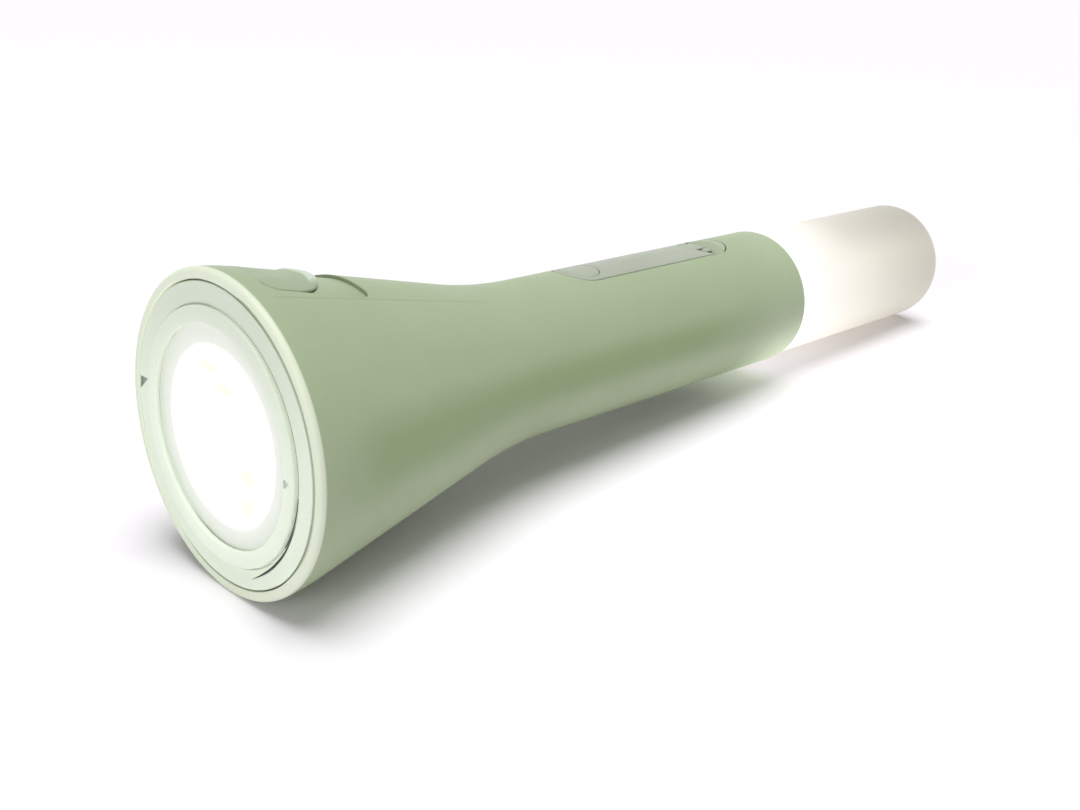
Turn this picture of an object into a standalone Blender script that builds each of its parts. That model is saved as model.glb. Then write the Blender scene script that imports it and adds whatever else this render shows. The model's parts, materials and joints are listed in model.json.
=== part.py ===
"""Hand-cranked flashlight, lying on the rim of its head and the end of its lantern diffuser.

The torch is built along its own axis: X runs from the front of the head to the tail, with 0 at
the widest circle of the rim, Z is its top line, and -Y is the side that a viewer sees.
An empty named torch then tilts the whole until it rests on the floor. All sizes are in metres.
"""

import math

import bmesh
import bpy
from mathutils import Matrix, Vector

# Clearance between pieces that touch, rest on or seat in each other
GAP = 0.0003

# How far two walls of one piece that would lie in the same place are set apart
SLIVER = 0.00003

# Facets round the pieces that show, those inside, and the small ones
SHOWN_SIDES = 48
INNER_SIDES = 20
SMALL_SIDES = 8

# Outside of the head and the handle
HEAD_RADIUS = 0.035
RIM_EDGE = 0.001
RIM_CURVE = 0.008
RIM_PULL_RATIO = 0.45
CONE_SHOULDER = 0.0006
CONE_LENGTH = 0.0715
NECK_BLEND = 0.013
HANDLE_RADIUS = 0.0197
HANDLE_EDGE = 0.0006
HEAD_WALL = 0.0032
HANDLE_WALL = 0.002
WALL_TAPER_START = 0.045

# Face of the head: one ring seated inside the next
RIM_WALL = 0.0024
RING_EDGE = 0.00033
BEZEL_DEPTH = 0.005
BEZEL_WIDTH = 0.0045
BEZEL_SEAT = 0.0018
BEZEL_LIP = 0.003
LENS_RING_WIDTH = 0.0037
LENS_RING_PROUD = 0.0009
LENS_RING_SKIRT = 0.0012
LENS_RING_FLANGE = 0.0011
LENS_RECESS = 0.0013
LENS_THICKNESS = 0.002
SEAL_THICKNESS = 0.0008

# Marks sunk into the rings' front planes: each place is a share of the ring's width
# from its bore and an angle in degrees from the torch's top line
MARK_DEPTH = 0.0004
BEZEL_ARROW = ((0.89, -81.0), (0.2, -79.8), (0.91, -86.6))
LENS_ARROW = ((0.08, 91.2), (0.6, 92.4), (0.14, 96.2))
CRESCENT = ((0.08, 100.0), (0.11, 118.0), (0.2, 136.0), (0.31, 150.0), (0.45, 161.0))
CRESCENT_WIDTH = 0.0006
CRESCENT_STEPS = 6

# Lamp behind the lens
FLANGE_SEAT = 0.0038
FLANGE_THICKNESS = 0.002
REFLECTOR_DEPTH = 0.0095
REFLECTOR_TAPER = 0.0046
REFLECTOR_WALL = 0.0013
BOARD_STEP = 0.0008
LED_BOARD_THICKNESS = 0.0016
LED_SIZE = 0.0028
LED_HEIGHT = 0.0009
LED_RING_SHARES = ((8, 0.54), (12, 0.77))
SINK_PLUG = 0.0014
SINK_FLANGE = 0.002
SINK_FINS = 0.0055
FIN_THICKNESS = 0.0012
FIN_COUNT = 7

# Slide switch in a recess on top of the head
RECESS_START = 0.005
RECESS_LENGTH = 0.025
RECESS_HALF_WIDTH = 0.011
RECESS_CORNER = 0.003
RECESS_DEPTH = 0.0008
SLIDER_LENGTH = 0.0162
SLIDER_LIP = 0.0006
SLIDER_LIP_WIDTH = 0.0022
DISH_RADIUS = 0.04
DISH_DEPTH = 0.0002
DISH_SHARE = 0.42
POST_START = 0.0072
POST_LENGTH = 0.002
POST_WIDTH = 0.003
SLIDE_TRAVEL = 0.0065
SWITCH_LENGTH = 0.0138
SWITCH_WIDTH = 0.008
SWITCH_HEIGHT = 0.0026
SWITCH_TROUGH = 0.0017
SWITCH_DROP = 0.0015

# Battery in its cradle, low in the neck so that the torch lies still
BATTERY_RADIUS = 0.0091
BATTERY_LENGTH = 0.065
BATTERY_EDGE = 0.0005
BATTERY_CAP_RADIUS = 0.003
BATTERY_CAP_HEIGHT = 0.001
CRADLE_WALL = 0.0014
CRADLE_DISC = 0.0018
CRADLE_END = 0.0015
SPRING_ROOM = 0.003
SPRING_RADIUS = 0.0045
SPRING_WIRE = 0.0004
SPRING_TURNS = 2.5
SPRING_STEPS = 12
SPRING_TAPER_RATIO = 0.4
CONTACT_RADIUS = 0.005
CONTACT_THICKNESS = 0.0005

# Folding crank, flush in a pill-shaped pocket along the top line
CRANK_LENGTH = 0.065
CRANK_HALF_WIDTH = 0.007
ARM_SHARE = 0.30893
TRAY_WALL = 0.0013
TRAY_FLOOR = 0.0013
HINGE_FORWARD = 0.003
HINGE_DROP = 0.002
HINGE_PIN_RADIUS = 0.0008
TONGUE_HALF_WIDTH = 0.0028
EAR_WIDTH = 0.0019
EAR_RADIUS = 0.00175
FOLD_LIMIT = math.radians(145)
KNOB_RADIUS = 0.005
KNOB_LENGTH = 0.0095
KNOB_PIN_RADIUS = 0.0015
KNOB_CAP_RADIUS = 0.0052
KNOB_CAP_THICKNESS = 0.0014
KNOB_EDGE = 0.0009
KNOB_RIVET_RADIUS = 0.0029
KNOB_RIVET_THICKNESS = 0.0008
WELL_FLOOR = 0.001

# Gear train and generator under the pocket: the plates' spacing as a share of the bore, and the
# gears' levels as shares of that spacing
TOP_PLATE = 0.0016
BASE_PLATE = 0.0016
PLATE_SPACING_SHARE = 0.514
SHAFT_RADIUS = 0.0025
SHAFT_TIP_RADIUS = 0.0012
BUSH_WALL = 0.0014
BUSH_FLANGE = 0.0009
CLIP_THICKNESS = 0.0005
CLUTCH_RADIUS = 0.0062
GEAR_MODULE = 0.0008
TOOTH_SHARE = 0.36
TOOTH_ANGLE = math.radians(20)
TOOTH_TIP_RATIO = 0.75
TOOTH_ROOT_RATIO = 1.05
DRIVE_TEETH = 30
WHEEL_TEETH = 28
PINION_TEETH = 10
DRIVE_WIDTH_SHARE = 0.308
WHEEL_WIDTH_SHARE = 0.242
GEAR_LIFT_SHARE = 0.143
LEVEL_GAP_SHARE = 0.132
AXLE_RADIUS = 0.0012
MAGNET_RADIUS = 0.009
MAGNET_FOOT = 0.0021
STATOR_RADIUS = 0.0135
STATOR_AIR_GAP = 0.0006
STATOR_HEIGHT_SHARE = 0.222
ROTOR_SHAFT_RADIUS = 0.001
POST_RADIUS = 0.0018
PILLAR_INSET = 0.0033

# Control board on the pillars under the generator: its lower face as a share of the handle's bore
CONTROL_SHARE = 0.683
CONTROL_THICKNESS = 0.0016
CONTROL_END_ROOM = 0.003
PILLAR_ROOM = 0.0015
CONTROL_MARGIN = 0.001
CHIP_HEIGHT = 0.0018
CHIP_COUNT = 3
CHIP_SHARE = 0.6

# Tail: bulkhead, lantern lamp and diffuser
HANDLE_TAIL = 0.0196
LEDGE_DEPTH = 0.0129
LEDGE_THICKNESS = 0.0025
LEDGE_WIDTH = 0.0051
BULKHEAD_THICKNESS = 0.0016
BULKHEAD_BOSS = 0.0016
BULKHEAD_BOSS_RADIUS = 0.005
TAIL_BOARD_SHARE = 0.706
TAIL_BOARD_THICKNESS = 0.0014
TAIL_LED_COUNT = 6
TAIL_LED_SHARE = 0.56
TAIL_SEAL = 0.001
DIFFUSER_RADIUS = 0.01895
DIFFUSER_LENGTH = 0.0829
DIFFUSER_WALL = 0.0015
DIFFUSER_EDGE = 0.0045

# Screws
SCREW_RADIUS = 0.0007
SCREW_HEAD_RADIUS = 0.0013
SCREW_HEAD_HEIGHT = 0.0011
SCREW_LENGTH = 0.0055
SCREW_SHARE = 0.8
SCREW_EDGE = 0.0008
HEAD_SCREWS = 4
TAIL_SCREWS = 3

# Insulated wires through the cradle's disc and the bulkhead
WIRE_RADIUS = 0.0007
WIRE_ASIDE = 0.007
WIRE_OVER_BATTERY = 0.0065
TAIL_WIRE_SHARES = (0.367, -0.311)

# Places along the torch that follow from the sizes above
RIM_PLANE = -RIM_EDGE
BEZEL_SEAT_AT = RIM_PLANE + BEZEL_DEPTH
FLANGE_FRONT = BEZEL_SEAT_AT
FLANGE_SEAT_AT = FLANGE_FRONT + FLANGE_THICKNESS + GAP
LED_BOARD_FRONT = FLANGE_FRONT + REFLECTOR_DEPTH + GAP
SINK_FRONT = LED_BOARD_FRONT + LED_BOARD_THICKNESS + GAP
SINK_FLANGE_FRONT = SINK_FRONT + SINK_PLUG + GAP
SINK_BACK = SINK_FLANGE_FRONT + SINK_FLANGE + SINK_FINS
CRADLE_FRONT = SINK_BACK + GAP
BATTERY_FRONT = CRADLE_FRONT + CRADLE_DISC + SPRING_ROOM
BATTERY_BACK = BATTERY_FRONT + BATTERY_LENGTH
BATTERY_TIP = BATTERY_BACK + BATTERY_CAP_HEIGHT
CONTACT_BACK = BATTERY_TIP + GAP + CONTACT_THICKNESS
CRANK_START = BATTERY_TIP + TRAY_WALL
KNOB_AT = CRANK_START + CRANK_HALF_WIDTH
HUB_AT = CRANK_START + CRANK_LENGTH - CRANK_HALF_WIDTH
HINGE_AT = HUB_AT - HINGE_FORWARD
HANDLE_END = CRANK_START + CRANK_LENGTH + HANDLE_TAIL
LEDGE_FRONT = HANDLE_END - LEDGE_DEPTH
LEDGE_BACK = LEDGE_FRONT + LEDGE_THICKNESS
BULKHEAD_FRONT = LEDGE_BACK + GAP
BULKHEAD_BACK = BULKHEAD_FRONT + BULKHEAD_THICKNESS
TAIL_BOARD_FRONT = BULKHEAD_BACK + BULKHEAD_BOSS + GAP
NECK_END = BULKHEAD_BACK + GAP + TAIL_SEAL + GAP
DIFFUSER_START = HANDLE_END + GAP
DIFFUSER_END = DIFFUSER_START + DIFFUSER_LENGTH

# Radii that follow from the sizes above
BEZEL_BORE = HEAD_RADIUS - RIM_WALL
FLANGE_BORE = BEZEL_BORE - BEZEL_SEAT
LAMP_BORE = FLANGE_BORE - FLANGE_SEAT
BEZEL_OUTER = BEZEL_BORE - GAP
BEZEL_INNER = BEZEL_OUTER - BEZEL_WIDTH
LENS_RING_OUTER = BEZEL_INNER - GAP
LENS_RING_INNER = LENS_RING_OUTER - LENS_RING_WIDTH
LENS_SEAT_RADIUS = LENS_RING_OUTER - LENS_RING_SKIRT
LED_BOARD_RADIUS = LENS_RING_INNER - REFLECTOR_TAPER
HANDLE_BORE = HANDLE_RADIUS - HANDLE_WALL
CRADLE_RADIUS = BATTERY_RADIUS + GAP + CRADLE_WALL
DIFFUSER_NECK = HANDLE_BORE - GAP
DIFFUSER_BORE = DIFFUSER_RADIUS - DIFFUSER_WALL
HUB_RADIUS = CRANK_HALF_WIDTH - GAP
TAIL_BOARD_RADIUS = TAIL_BOARD_SHARE * HANDLE_BORE

# Heights above the torch's axis that follow from the sizes above
BATTERY_Z = CRADLE_RADIUS + GAP - HANDLE_BORE
WIRE_HOLE = (WIRE_ASIDE, BATTERY_Z + BATTERY_RADIUS + WIRE_OVER_BATTERY)
TAIL_WIRE_HOLE = tuple(share * HANDLE_BORE for share in TAIL_WIRE_SHARES)
ARM_TOP = HANDLE_RADIUS
ARM_BOTTOM = ARM_TOP - ARM_SHARE * HANDLE_RADIUS
TRAY_TOP = ARM_BOTTOM - GAP
TRAY_BOTTOM = TRAY_TOP - TRAY_FLOOR
HINGE_Z = ARM_TOP - HINGE_DROP
KNOB_TOP = ARM_BOTTOM - GAP
KNOB_BOTTOM = KNOB_TOP - KNOB_LENGTH
WELL_TOP = KNOB_BOTTOM - GAP
TOP_PLATE_TOP = TRAY_BOTTOM - GAP
TOP_PLATE_BOTTOM = TOP_PLATE_TOP - TOP_PLATE
PLATE_SPACING = PLATE_SPACING_SHARE * HANDLE_BORE
BASE_PLATE_TOP = TOP_PLATE_BOTTOM - PLATE_SPACING
BASE_PLATE_BOTTOM = BASE_PLATE_TOP - BASE_PLATE
WHEEL_BOTTOM = BASE_PLATE_TOP + GEAR_LIFT_SHARE * PLATE_SPACING
WHEEL_TOP = WHEEL_BOTTOM + WHEEL_WIDTH_SHARE * PLATE_SPACING
DRIVE_BOTTOM = WHEEL_TOP + LEVEL_GAP_SHARE * PLATE_SPACING
DRIVE_TOP = DRIVE_BOTTOM + DRIVE_WIDTH_SHARE * PLATE_SPACING
CONTROL_BOTTOM = -CONTROL_SHARE * HANDLE_BORE
CONTROL_TOP = CONTROL_BOTTOM + CONTROL_THICKNESS
PILLAR_BOTTOM = CONTROL_TOP + GAP
MAGNET_TOP = BASE_PLATE_BOTTOM - 2 * GAP
MAGNET_BOTTOM = CONTROL_TOP + MAGNET_FOOT
STATOR_HEIGHT = STATOR_HEIGHT_SHARE * (MAGNET_TOP - MAGNET_BOTTOM)

# Gear centres along the torch, from the crank's hub forwards
IDLER_AT = HUB_AT - GEAR_MODULE * (DRIVE_TEETH + PINION_TEETH) / 2
ROTOR_AT = IDLER_AT - GEAR_MODULE * (WHEEL_TEETH + PINION_TEETH) / 2

# The tilt that brings the rim and the diffuser's end to the floor together
REST_AT = DIFFUSER_END - DIFFUSER_EDGE
TILT = math.atan2(HEAD_RADIUS - DIFFUSER_RADIUS, REST_AT)

# Colours (linear), roughness and metallic of each material
FINISHES = {
    "sage_plastic": ((0.40, 0.48, 0.33), 0.45, 0.0),
    "pale_plastic": ((0.69, 0.76, 0.62), 0.4, 0.0),
    "grey_plastic": ((0.46, 0.48, 0.44), 0.5, 0.0),
    "dark_plastic": ((0.05, 0.05, 0.05), 0.5, 0.0),
    "frosted_plastic": ((0.86, 0.84, 0.78), 0.35, 0.0),
    "clear_plastic": ((0.9, 0.93, 0.9), 0.08, 0.0),
    "mirror_plastic": ((0.85, 0.85, 0.82), 0.12, 1.0),
    "black_rubber": ((0.03, 0.03, 0.03), 0.8, 0.0),
    "circuit_board": ((0.05, 0.2, 0.09), 0.5, 0.0),
    "aluminium": ((0.75, 0.76, 0.77), 0.35, 1.0),
    "steel": ((0.6, 0.6, 0.6), 0.3, 1.0),
    "brass": ((0.75, 0.58, 0.28), 0.3, 1.0),
    "copper": ((0.8, 0.4, 0.22), 0.35, 1.0),
    "nylon": ((0.8, 0.79, 0.73), 0.5, 0.0),
    "battery_sleeve": ((0.08, 0.16, 0.34), 0.4, 0.0),
}


def material(finish):
    """The material of that name, made on its first use."""
    found = bpy.data.materials.get(finish)
    if found:
        return found
    colour, roughness, metallic = FINISHES[finish]
    made = bpy.data.materials.new(finish)
    made.use_nodes = True
    shader = made.node_tree.nodes["Principled BSDF"]
    shader.inputs["Base Color"].default_value = (*colour, 1.0)
    shader.inputs["Roughness"].default_value = roughness
    shader.inputs["Metallic"].default_value = metallic
    return made


# Shapes added to a bmesh, in the torch's own frame


def turned(bm, outline, sides, axis="X", centre=(0.0, 0.0, 0.0)):
    """Turn a closed outline of (along, radius) points about an axis through centre."""
    middle = Vector(centre)
    rings = []
    for along, radius in outline:
        if radius < 1e-7:
            spokes = [0.0]
        else:
            spokes = [math.tau * (i + 0.5) / sides for i in range(sides)]
        ring = []
        for angle in spokes:
            across = radius * math.sin(angle)
            up = radius * math.cos(angle)
            if axis == "X":
                point = Vector((along, across, up))
            elif axis == "Y":
                point = Vector((across, along, up))
            else:
                point = Vector((across, up, along))
            ring.append(bm.verts.new(middle + point))
        rings.append(ring)
    for first, second in zip(rings, rings[1:] + rings[:1]):
        if len(first) == 1 and len(second) == 1:
            continue
        for i in range(sides):
            corners = [first[i % len(first)], first[(i + 1) % len(first)]]
            corners += [second[(i + 1) % len(second)], second[i % len(second)]]
            bm.faces.new(list(dict.fromkeys(corners)))


def rod(bm, low, high, radius, sides, axis="X", centre=(0.0, 0.0, 0.0)):
    """A plain round rod from low to high along an axis through centre."""
    turned(bm, [(low, 0.0), (low, radius), (high, radius), (high, 0.0)], sides, axis, centre)


def prism(bm, loops, low, high, axis="Z"):
    """Extrude an outline, with any holes as further loops, from low to high along an axis."""
    fill_scale = 1000.0  # Blender's fill works on larger numbers than these
    edges = []
    for loop in loops:
        ring = [bm.verts.new((u * fill_scale, v * fill_scale, 0.0)) for u, v in loop]
        edges += [bm.edges.new(pair) for pair in zip(ring, ring[1:] + ring[:1])]
    filled = bmesh.ops.triangle_fill(bm, use_beauty=True, edges=edges)
    faces = [piece for piece in filled["geom"] if isinstance(piece, bmesh.types.BMFace)]
    raised = bmesh.ops.extrude_face_region(bm, geom=faces, use_keep_orig=True)
    top = {piece for piece in raised["geom"] if isinstance(piece, bmesh.types.BMVert)}
    bottom = {corner for face in faces for corner in face.verts}
    for corner in bottom | top:
        u = corner.co.x / fill_scale
        v = corner.co.y / fill_scale
        along = high if corner in top else low
        if axis == "X":
            corner.co = (along, u, v)
        elif axis == "Y":
            corner.co = (u, along, v)
        else:
            corner.co = (u, v, along)


def block(bm, low, high):
    """A box between two opposite corners."""
    outline = [(low[0], low[1]), (high[0], low[1]), (high[0], high[1]), (low[0], high[1])]
    prism(bm, [outline], low[2], high[2])


# Outlines


def arc(centre, radius, start, end, steps):
    """Points on a circle from one angle to another, both ends included."""
    turns = [start + (end - start) * i / steps for i in range(steps + 1)]
    return [(centre[0] + radius * math.cos(a), centre[1] + radius * math.sin(a)) for a in turns]


def circle(centre, radius, steps):
    """A closed round outline."""
    return arc(centre, radius, math.pi / steps, math.tau + math.pi / steps, steps)[:-1]


def pill(start, end, half_width, steps=10):
    """A slot outline along X with round ends."""
    back = arc((end - half_width, 0.0), half_width, -math.pi / 2, math.pi / 2, steps)
    front = arc((start + half_width, 0.0), half_width, math.pi / 2, 3 * math.pi / 2, steps)
    return back + front


def rounded_box(low, high, corner, steps=4):
    """A rectangle outline with round corners."""
    quarter = math.pi / 2
    corners = (
        (high[0] - corner, high[1] - corner),
        (low[0] + corner, high[1] - corner),
        (low[0] + corner, low[1] + corner),
        (high[0] - corner, low[1] + corner),
    )
    points = []
    for turn, centre in enumerate(corners):
        points += arc(centre, corner, turn * quarter, (turn + 1) * quarter, steps)
    return points


def cone_radius(along):
    """Radius of the head's straight cone, carried on past both of its ends."""
    return HEAD_RADIUS + CONE_SHOULDER - cone_slope() * along


def cone_slope():
    """How much radius the cone loses for each metre along the torch."""
    return (HEAD_RADIUS + CONE_SHOULDER - HANDLE_RADIUS) / CONE_LENGTH


def neck_radius():
    """Radius of the arc that blends the cone into the handle."""
    return NECK_BLEND / math.tan(math.atan(cone_slope()) / 2)


def outer_radius(along):
    """Outside radius of the head or the handle behind the rim's curve."""
    blend_start = CONE_LENGTH - NECK_BLEND * math.cos(math.atan(cone_slope()))
    blend_end = CONE_LENGTH + NECK_BLEND
    if along < blend_start:
        return cone_radius(along)
    if along < blend_end:
        blend = neck_radius()
        return HANDLE_RADIUS + blend - math.sqrt(blend**2 - (blend_end - along) ** 2)
    return HANDLE_RADIUS


def inner_radius(along):
    """Inside radius of the shell, whose wall thins from the head to the handle."""
    thinning_end = CONE_LENGTH + NECK_BLEND
    share = (along - WALL_TAPER_START) / (thinning_end - WALL_TAPER_START)
    share = min(max(share, 0.0), 1.0)
    return outer_radius(along) - HEAD_WALL + (HEAD_WALL - HANDLE_WALL) * share


def neck_places():
    """Places along the blend from the cone to the handle."""
    start = CONE_LENGTH - NECK_BLEND * math.cos(math.atan(cone_slope()))
    end = CONE_LENGTH + NECK_BLEND
    return [start + (end - start) * i / 4 for i in range(5)]


def outside_outline():
    """The housing's outside from the edge of the rim to the end of the handle."""
    control = RIM_CURVE * RIM_PULL_RATIO
    rim = arc((0.0, HEAD_RADIUS - RIM_EDGE), RIM_EDGE, math.pi, math.pi / 2, 2)
    points = list(rim)
    for i in (1, 2, 3):
        t = i / 3
        along = 2 * t * (1 - t) * control + t * t * RIM_CURVE
        radius = (1 - t) ** 2 * HEAD_RADIUS
        radius += 2 * t * (1 - t) * cone_radius(control) + t * t * cone_radius(RIM_CURVE)
        points.append((along, radius))
    points += [(along, outer_radius(along)) for along in neck_places()]
    points.append((HANDLE_END - HANDLE_EDGE, HANDLE_RADIUS))
    points.append((HANDLE_END, HANDLE_RADIUS - HANDLE_EDGE))
    return points


def skin(below, above):
    """A closed outline that follows the head's outside between two depths."""
    run = [point for point in outside_outline() if 0.0 <= point[0] < HANDLE_END - HANDLE_EDGE]
    outside = [(along, radius + above) for along, radius in run]
    inside = [(along, radius - below) for along, radius in run]
    return outside + inside[::-1]


# Objects


def finish(name, bm, finish_name, origin=(0.0, 0.0, 0.0)):
    """Make the bmesh, drawn in the torch's frame, an object with its origin at that point."""
    bmesh.ops.recalc_face_normals(bm, faces=bm.faces)
    bmesh.ops.translate(bm, verts=bm.verts, vec=-Vector(origin))
    mesh = bpy.data.meshes.new(name)
    bm.to_mesh(mesh)
    bm.free()
    mesh.shade_smooth()
    mesh.set_sharp_from_angle(angle=math.radians(30))
    mesh.materials.append(material(finish_name))
    obj = bpy.data.objects.new(name, mesh)
    bpy.context.collection.objects.link(obj)
    obj.location = origin
    obj.parent = bpy.data.objects["torch"]
    return obj


def tool(name, bm):
    """A cutter, or a shape to be joined, which isn't part of the model itself."""
    obj = finish(name, bm, "steel")
    obj.hide_render = True
    obj.display_type = "WIRE"
    return obj


def shape_with(obj, other, operation="DIFFERENCE"):
    """Cut, join or intersect an object with a tool."""
    modifier = obj.modifiers.new(other.name, "BOOLEAN")
    modifier.operation = operation
    modifier.solver = "EXACT"
    modifier.object = other


def on_circle(count, radius, start=0.0):
    """Evenly spaced (y, z) places round the torch's axis."""
    turns = [start + math.tau * i / count for i in range(count)]
    return [(radius * math.sin(angle), radius * math.cos(angle)) for angle in turns]


# Head


def make_housing():
    outline = outside_outline()
    ledge_bore = HANDLE_BORE - LEDGE_WIDTH
    outline += [(HANDLE_END, HANDLE_BORE), (LEDGE_BACK, HANDLE_BORE)]
    outline += [(LEDGE_BACK, ledge_bore), (LEDGE_FRONT, ledge_bore)]
    outline.append((LEDGE_FRONT, HANDLE_BORE))
    outline += [(along, inner_radius(along)) for along in reversed(neck_places())]
    outline.append((WALL_TAPER_START, inner_radius(WALL_TAPER_START)))
    lamp_bore_end = (cone_radius(0.0) - HEAD_WALL - LAMP_BORE) / cone_slope()
    outline += [(lamp_bore_end, LAMP_BORE), (FLANGE_SEAT_AT, LAMP_BORE)]
    outline += [(FLANGE_SEAT_AT, FLANGE_BORE), (BEZEL_SEAT_AT, FLANGE_BORE)]
    outline += [(BEZEL_SEAT_AT, BEZEL_BORE), (RIM_PLANE, BEZEL_BORE)]
    bm = bmesh.new()
    turned(bm, outline, SHOWN_SIDES)
    housing = finish("main_housing", bm, "sage_plastic")

    bm = bmesh.new()
    crank_end = CRANK_START + CRANK_LENGTH
    prism(bm, [pill(CRANK_START, crank_end, CRANK_HALF_WIDTH)], TRAY_TOP, 2 * HANDLE_RADIUS)
    shape_with(housing, tool("crank_opening", bm))

    recess = switch_skin(
        "switch_recess",
        rounded_box(
            (RECESS_START, -RECESS_HALF_WIDTH),
            (RECESS_START + RECESS_LENGTH, RECESS_HALF_WIDTH),
            RECESS_CORNER,
        ),
        RECESS_DEPTH,
        RECESS_DEPTH,
    )
    recess.hide_render = True
    recess.display_type = "WIRE"
    shape_with(housing, recess)

    bm = bmesh.new()
    half_slot = POST_WIDTH / 2 + GAP
    slot_end = post_front() + POST_LENGTH + SLIDE_TRAVEL + GAP
    block(
        bm,
        (post_front() - GAP, -half_slot, LENS_RING_INNER),
        (slot_end, half_slot, HEAD_RADIUS),
    )
    shape_with(housing, tool("switch_slot", bm))

    bm = bmesh.new()
    hole = SCREW_RADIUS + GAP
    hole_end = FLANGE_SEAT_AT + SCREW_LENGTH
    for y, z in head_screw_places():
        rod(bm, 0.0, hole_end, hole, SMALL_SIDES, "X", (0.0, y, z))
    shape_with(housing, tool("head_screw_holes", bm))

    bm = bmesh.new()
    for y, z in tail_screw_places():
        start = LEDGE_FRONT - SCREW_LENGTH
        rod(bm, start, LEDGE_BACK + GAP, hole, SMALL_SIDES, "X", (0.0, y, z))
    shape_with(housing, tool("tail_screw_holes", bm))
    return housing


def head_screw_places():
    """Screws through the reflector's flange, clear of the switch at the top."""
    radius = FLANGE_BORE - SCREW_EDGE - SCREW_HEAD_RADIUS - GAP
    return on_circle(HEAD_SCREWS, radius, math.pi / HEAD_SCREWS)


def tail_screw_places():
    """Screws through the bulkhead into the ledge at the tail."""
    radius = HANDLE_BORE - LEDGE_WIDTH + SCREW_HEAD_RADIUS + GAP
    return on_circle(TAIL_SCREWS, radius, math.pi)


def make_bezel_ring():
    back = BEZEL_SEAT_AT - GAP
    lip_back = RIM_PLANE + BEZEL_LIP
    groove = LENS_RING_OUTER + LENS_RING_FLANGE + GAP
    edge = RING_EDGE
    outline = [(RIM_PLANE, BEZEL_INNER + edge), (RIM_PLANE, BEZEL_OUTER - edge)]
    outline += [(RIM_PLANE + edge, BEZEL_OUTER), (back, BEZEL_OUTER)]
    outline += [(back, groove), (lip_back, groove)]
    outline += [(lip_back, BEZEL_INNER), (RIM_PLANE + edge, BEZEL_INNER)]
    bm = bmesh.new()
    turned(bm, outline, SHOWN_SIDES)
    ring = finish("bezel_ring", bm, "pale_plastic")
    bm = bmesh.new()
    sunk_mark(bm, on_ring(BEZEL_ARROW, BEZEL_INNER, BEZEL_OUTER), RIM_PLANE)
    shape_with(ring, tool("bezel_arrow", bm))
    bm = bmesh.new()
    sunk_mark(bm, crescent(on_ring(CRESCENT, BEZEL_INNER, BEZEL_OUTER)), RIM_PLANE)
    shape_with(ring, tool("bezel_crescent", bm))
    return ring


def on_ring(places, inner, outer):
    """A mark's places on a ring, as (radius, angle)."""
    return [(inner + (outer - inner) * share, math.radians(turn)) for share, turn in places]


def sunk_mark(bm, places, plane):
    """Fill a mark's outline of (radius, angle) places through a ring's front plane."""
    corners = [(-math.sin(angle) * radius, math.cos(angle) * radius) for radius, angle in places]
    prism(bm, [corners], plane - MARK_DEPTH, plane + MARK_DEPTH, "X")


def crescent(places):
    """A line along some places that swells from a point at either end."""
    spine = []
    for (radius, angle), (next_radius, next_angle) in zip(places, places[1:]):
        for i in range(CRESCENT_STEPS):
            share = i / CRESCENT_STEPS
            spine.append((radius + (next_radius - radius) * share, angle + (next_angle - angle) * share))
    spine.append(places[-1])
    last = len(spine) - 1
    inside = []
    for i, (radius, angle) in enumerate(spine):
        inside.append((radius - CRESCENT_WIDTH * math.sin(math.pi * i / last), angle))
    return spine + inside[-2:0:-1]


def make_lens_ring():
    front = RIM_PLANE - LENS_RING_PROUD
    edge = RING_EDGE
    lens_seat = lens_front() - GAP
    flange_front = RIM_PLANE + BEZEL_LIP + GAP
    flange_back = flange_front + LENS_RING_FLANGE
    flange = LENS_RING_OUTER + LENS_RING_FLANGE
    outline = [(front, LENS_RING_INNER + edge), (front, LENS_RING_OUTER - edge)]
    outline += [(front + edge, LENS_RING_OUTER), (flange_front, LENS_RING_OUTER)]
    outline += [(flange_front, flange), (flange_back, flange), (flange_back, LENS_SEAT_RADIUS)]
    outline += [(lens_seat, LENS_SEAT_RADIUS), (lens_seat, LENS_RING_INNER)]
    outline.append((front + edge, LENS_RING_INNER))
    bm = bmesh.new()
    turned(bm, outline, SHOWN_SIDES)
    ring = finish("lens_ring", bm, "pale_plastic")

    bm = bmesh.new()
    sunk_mark(bm, on_ring(LENS_ARROW, LENS_RING_INNER, LENS_RING_OUTER), front)
    shape_with(ring, tool("lens_arrow", bm))
    return ring


def lens_front():
    """Plane of the lens's front face."""
    return RIM_PLANE - LENS_RING_PROUD + LENS_RECESS


def make_front_lens():
    radius = LENS_SEAT_RADIUS - GAP
    bm = bmesh.new()
    rod(bm, lens_front(), lens_front() + LENS_THICKNESS, radius, SHOWN_SIDES)
    return finish("front_lens", bm, "clear_plastic")


def make_lens_seal():
    outer = LENS_SEAT_RADIUS - GAP
    inner = LENS_RING_INNER
    front = lens_front() + LENS_THICKNESS + GAP
    back = front + SEAL_THICKNESS
    bm = bmesh.new()
    turned(bm, [(front, inner), (front, outer), (back, outer), (back, inner)], INNER_SIDES)
    return finish("lens_seal", bm, "black_rubber")


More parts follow.
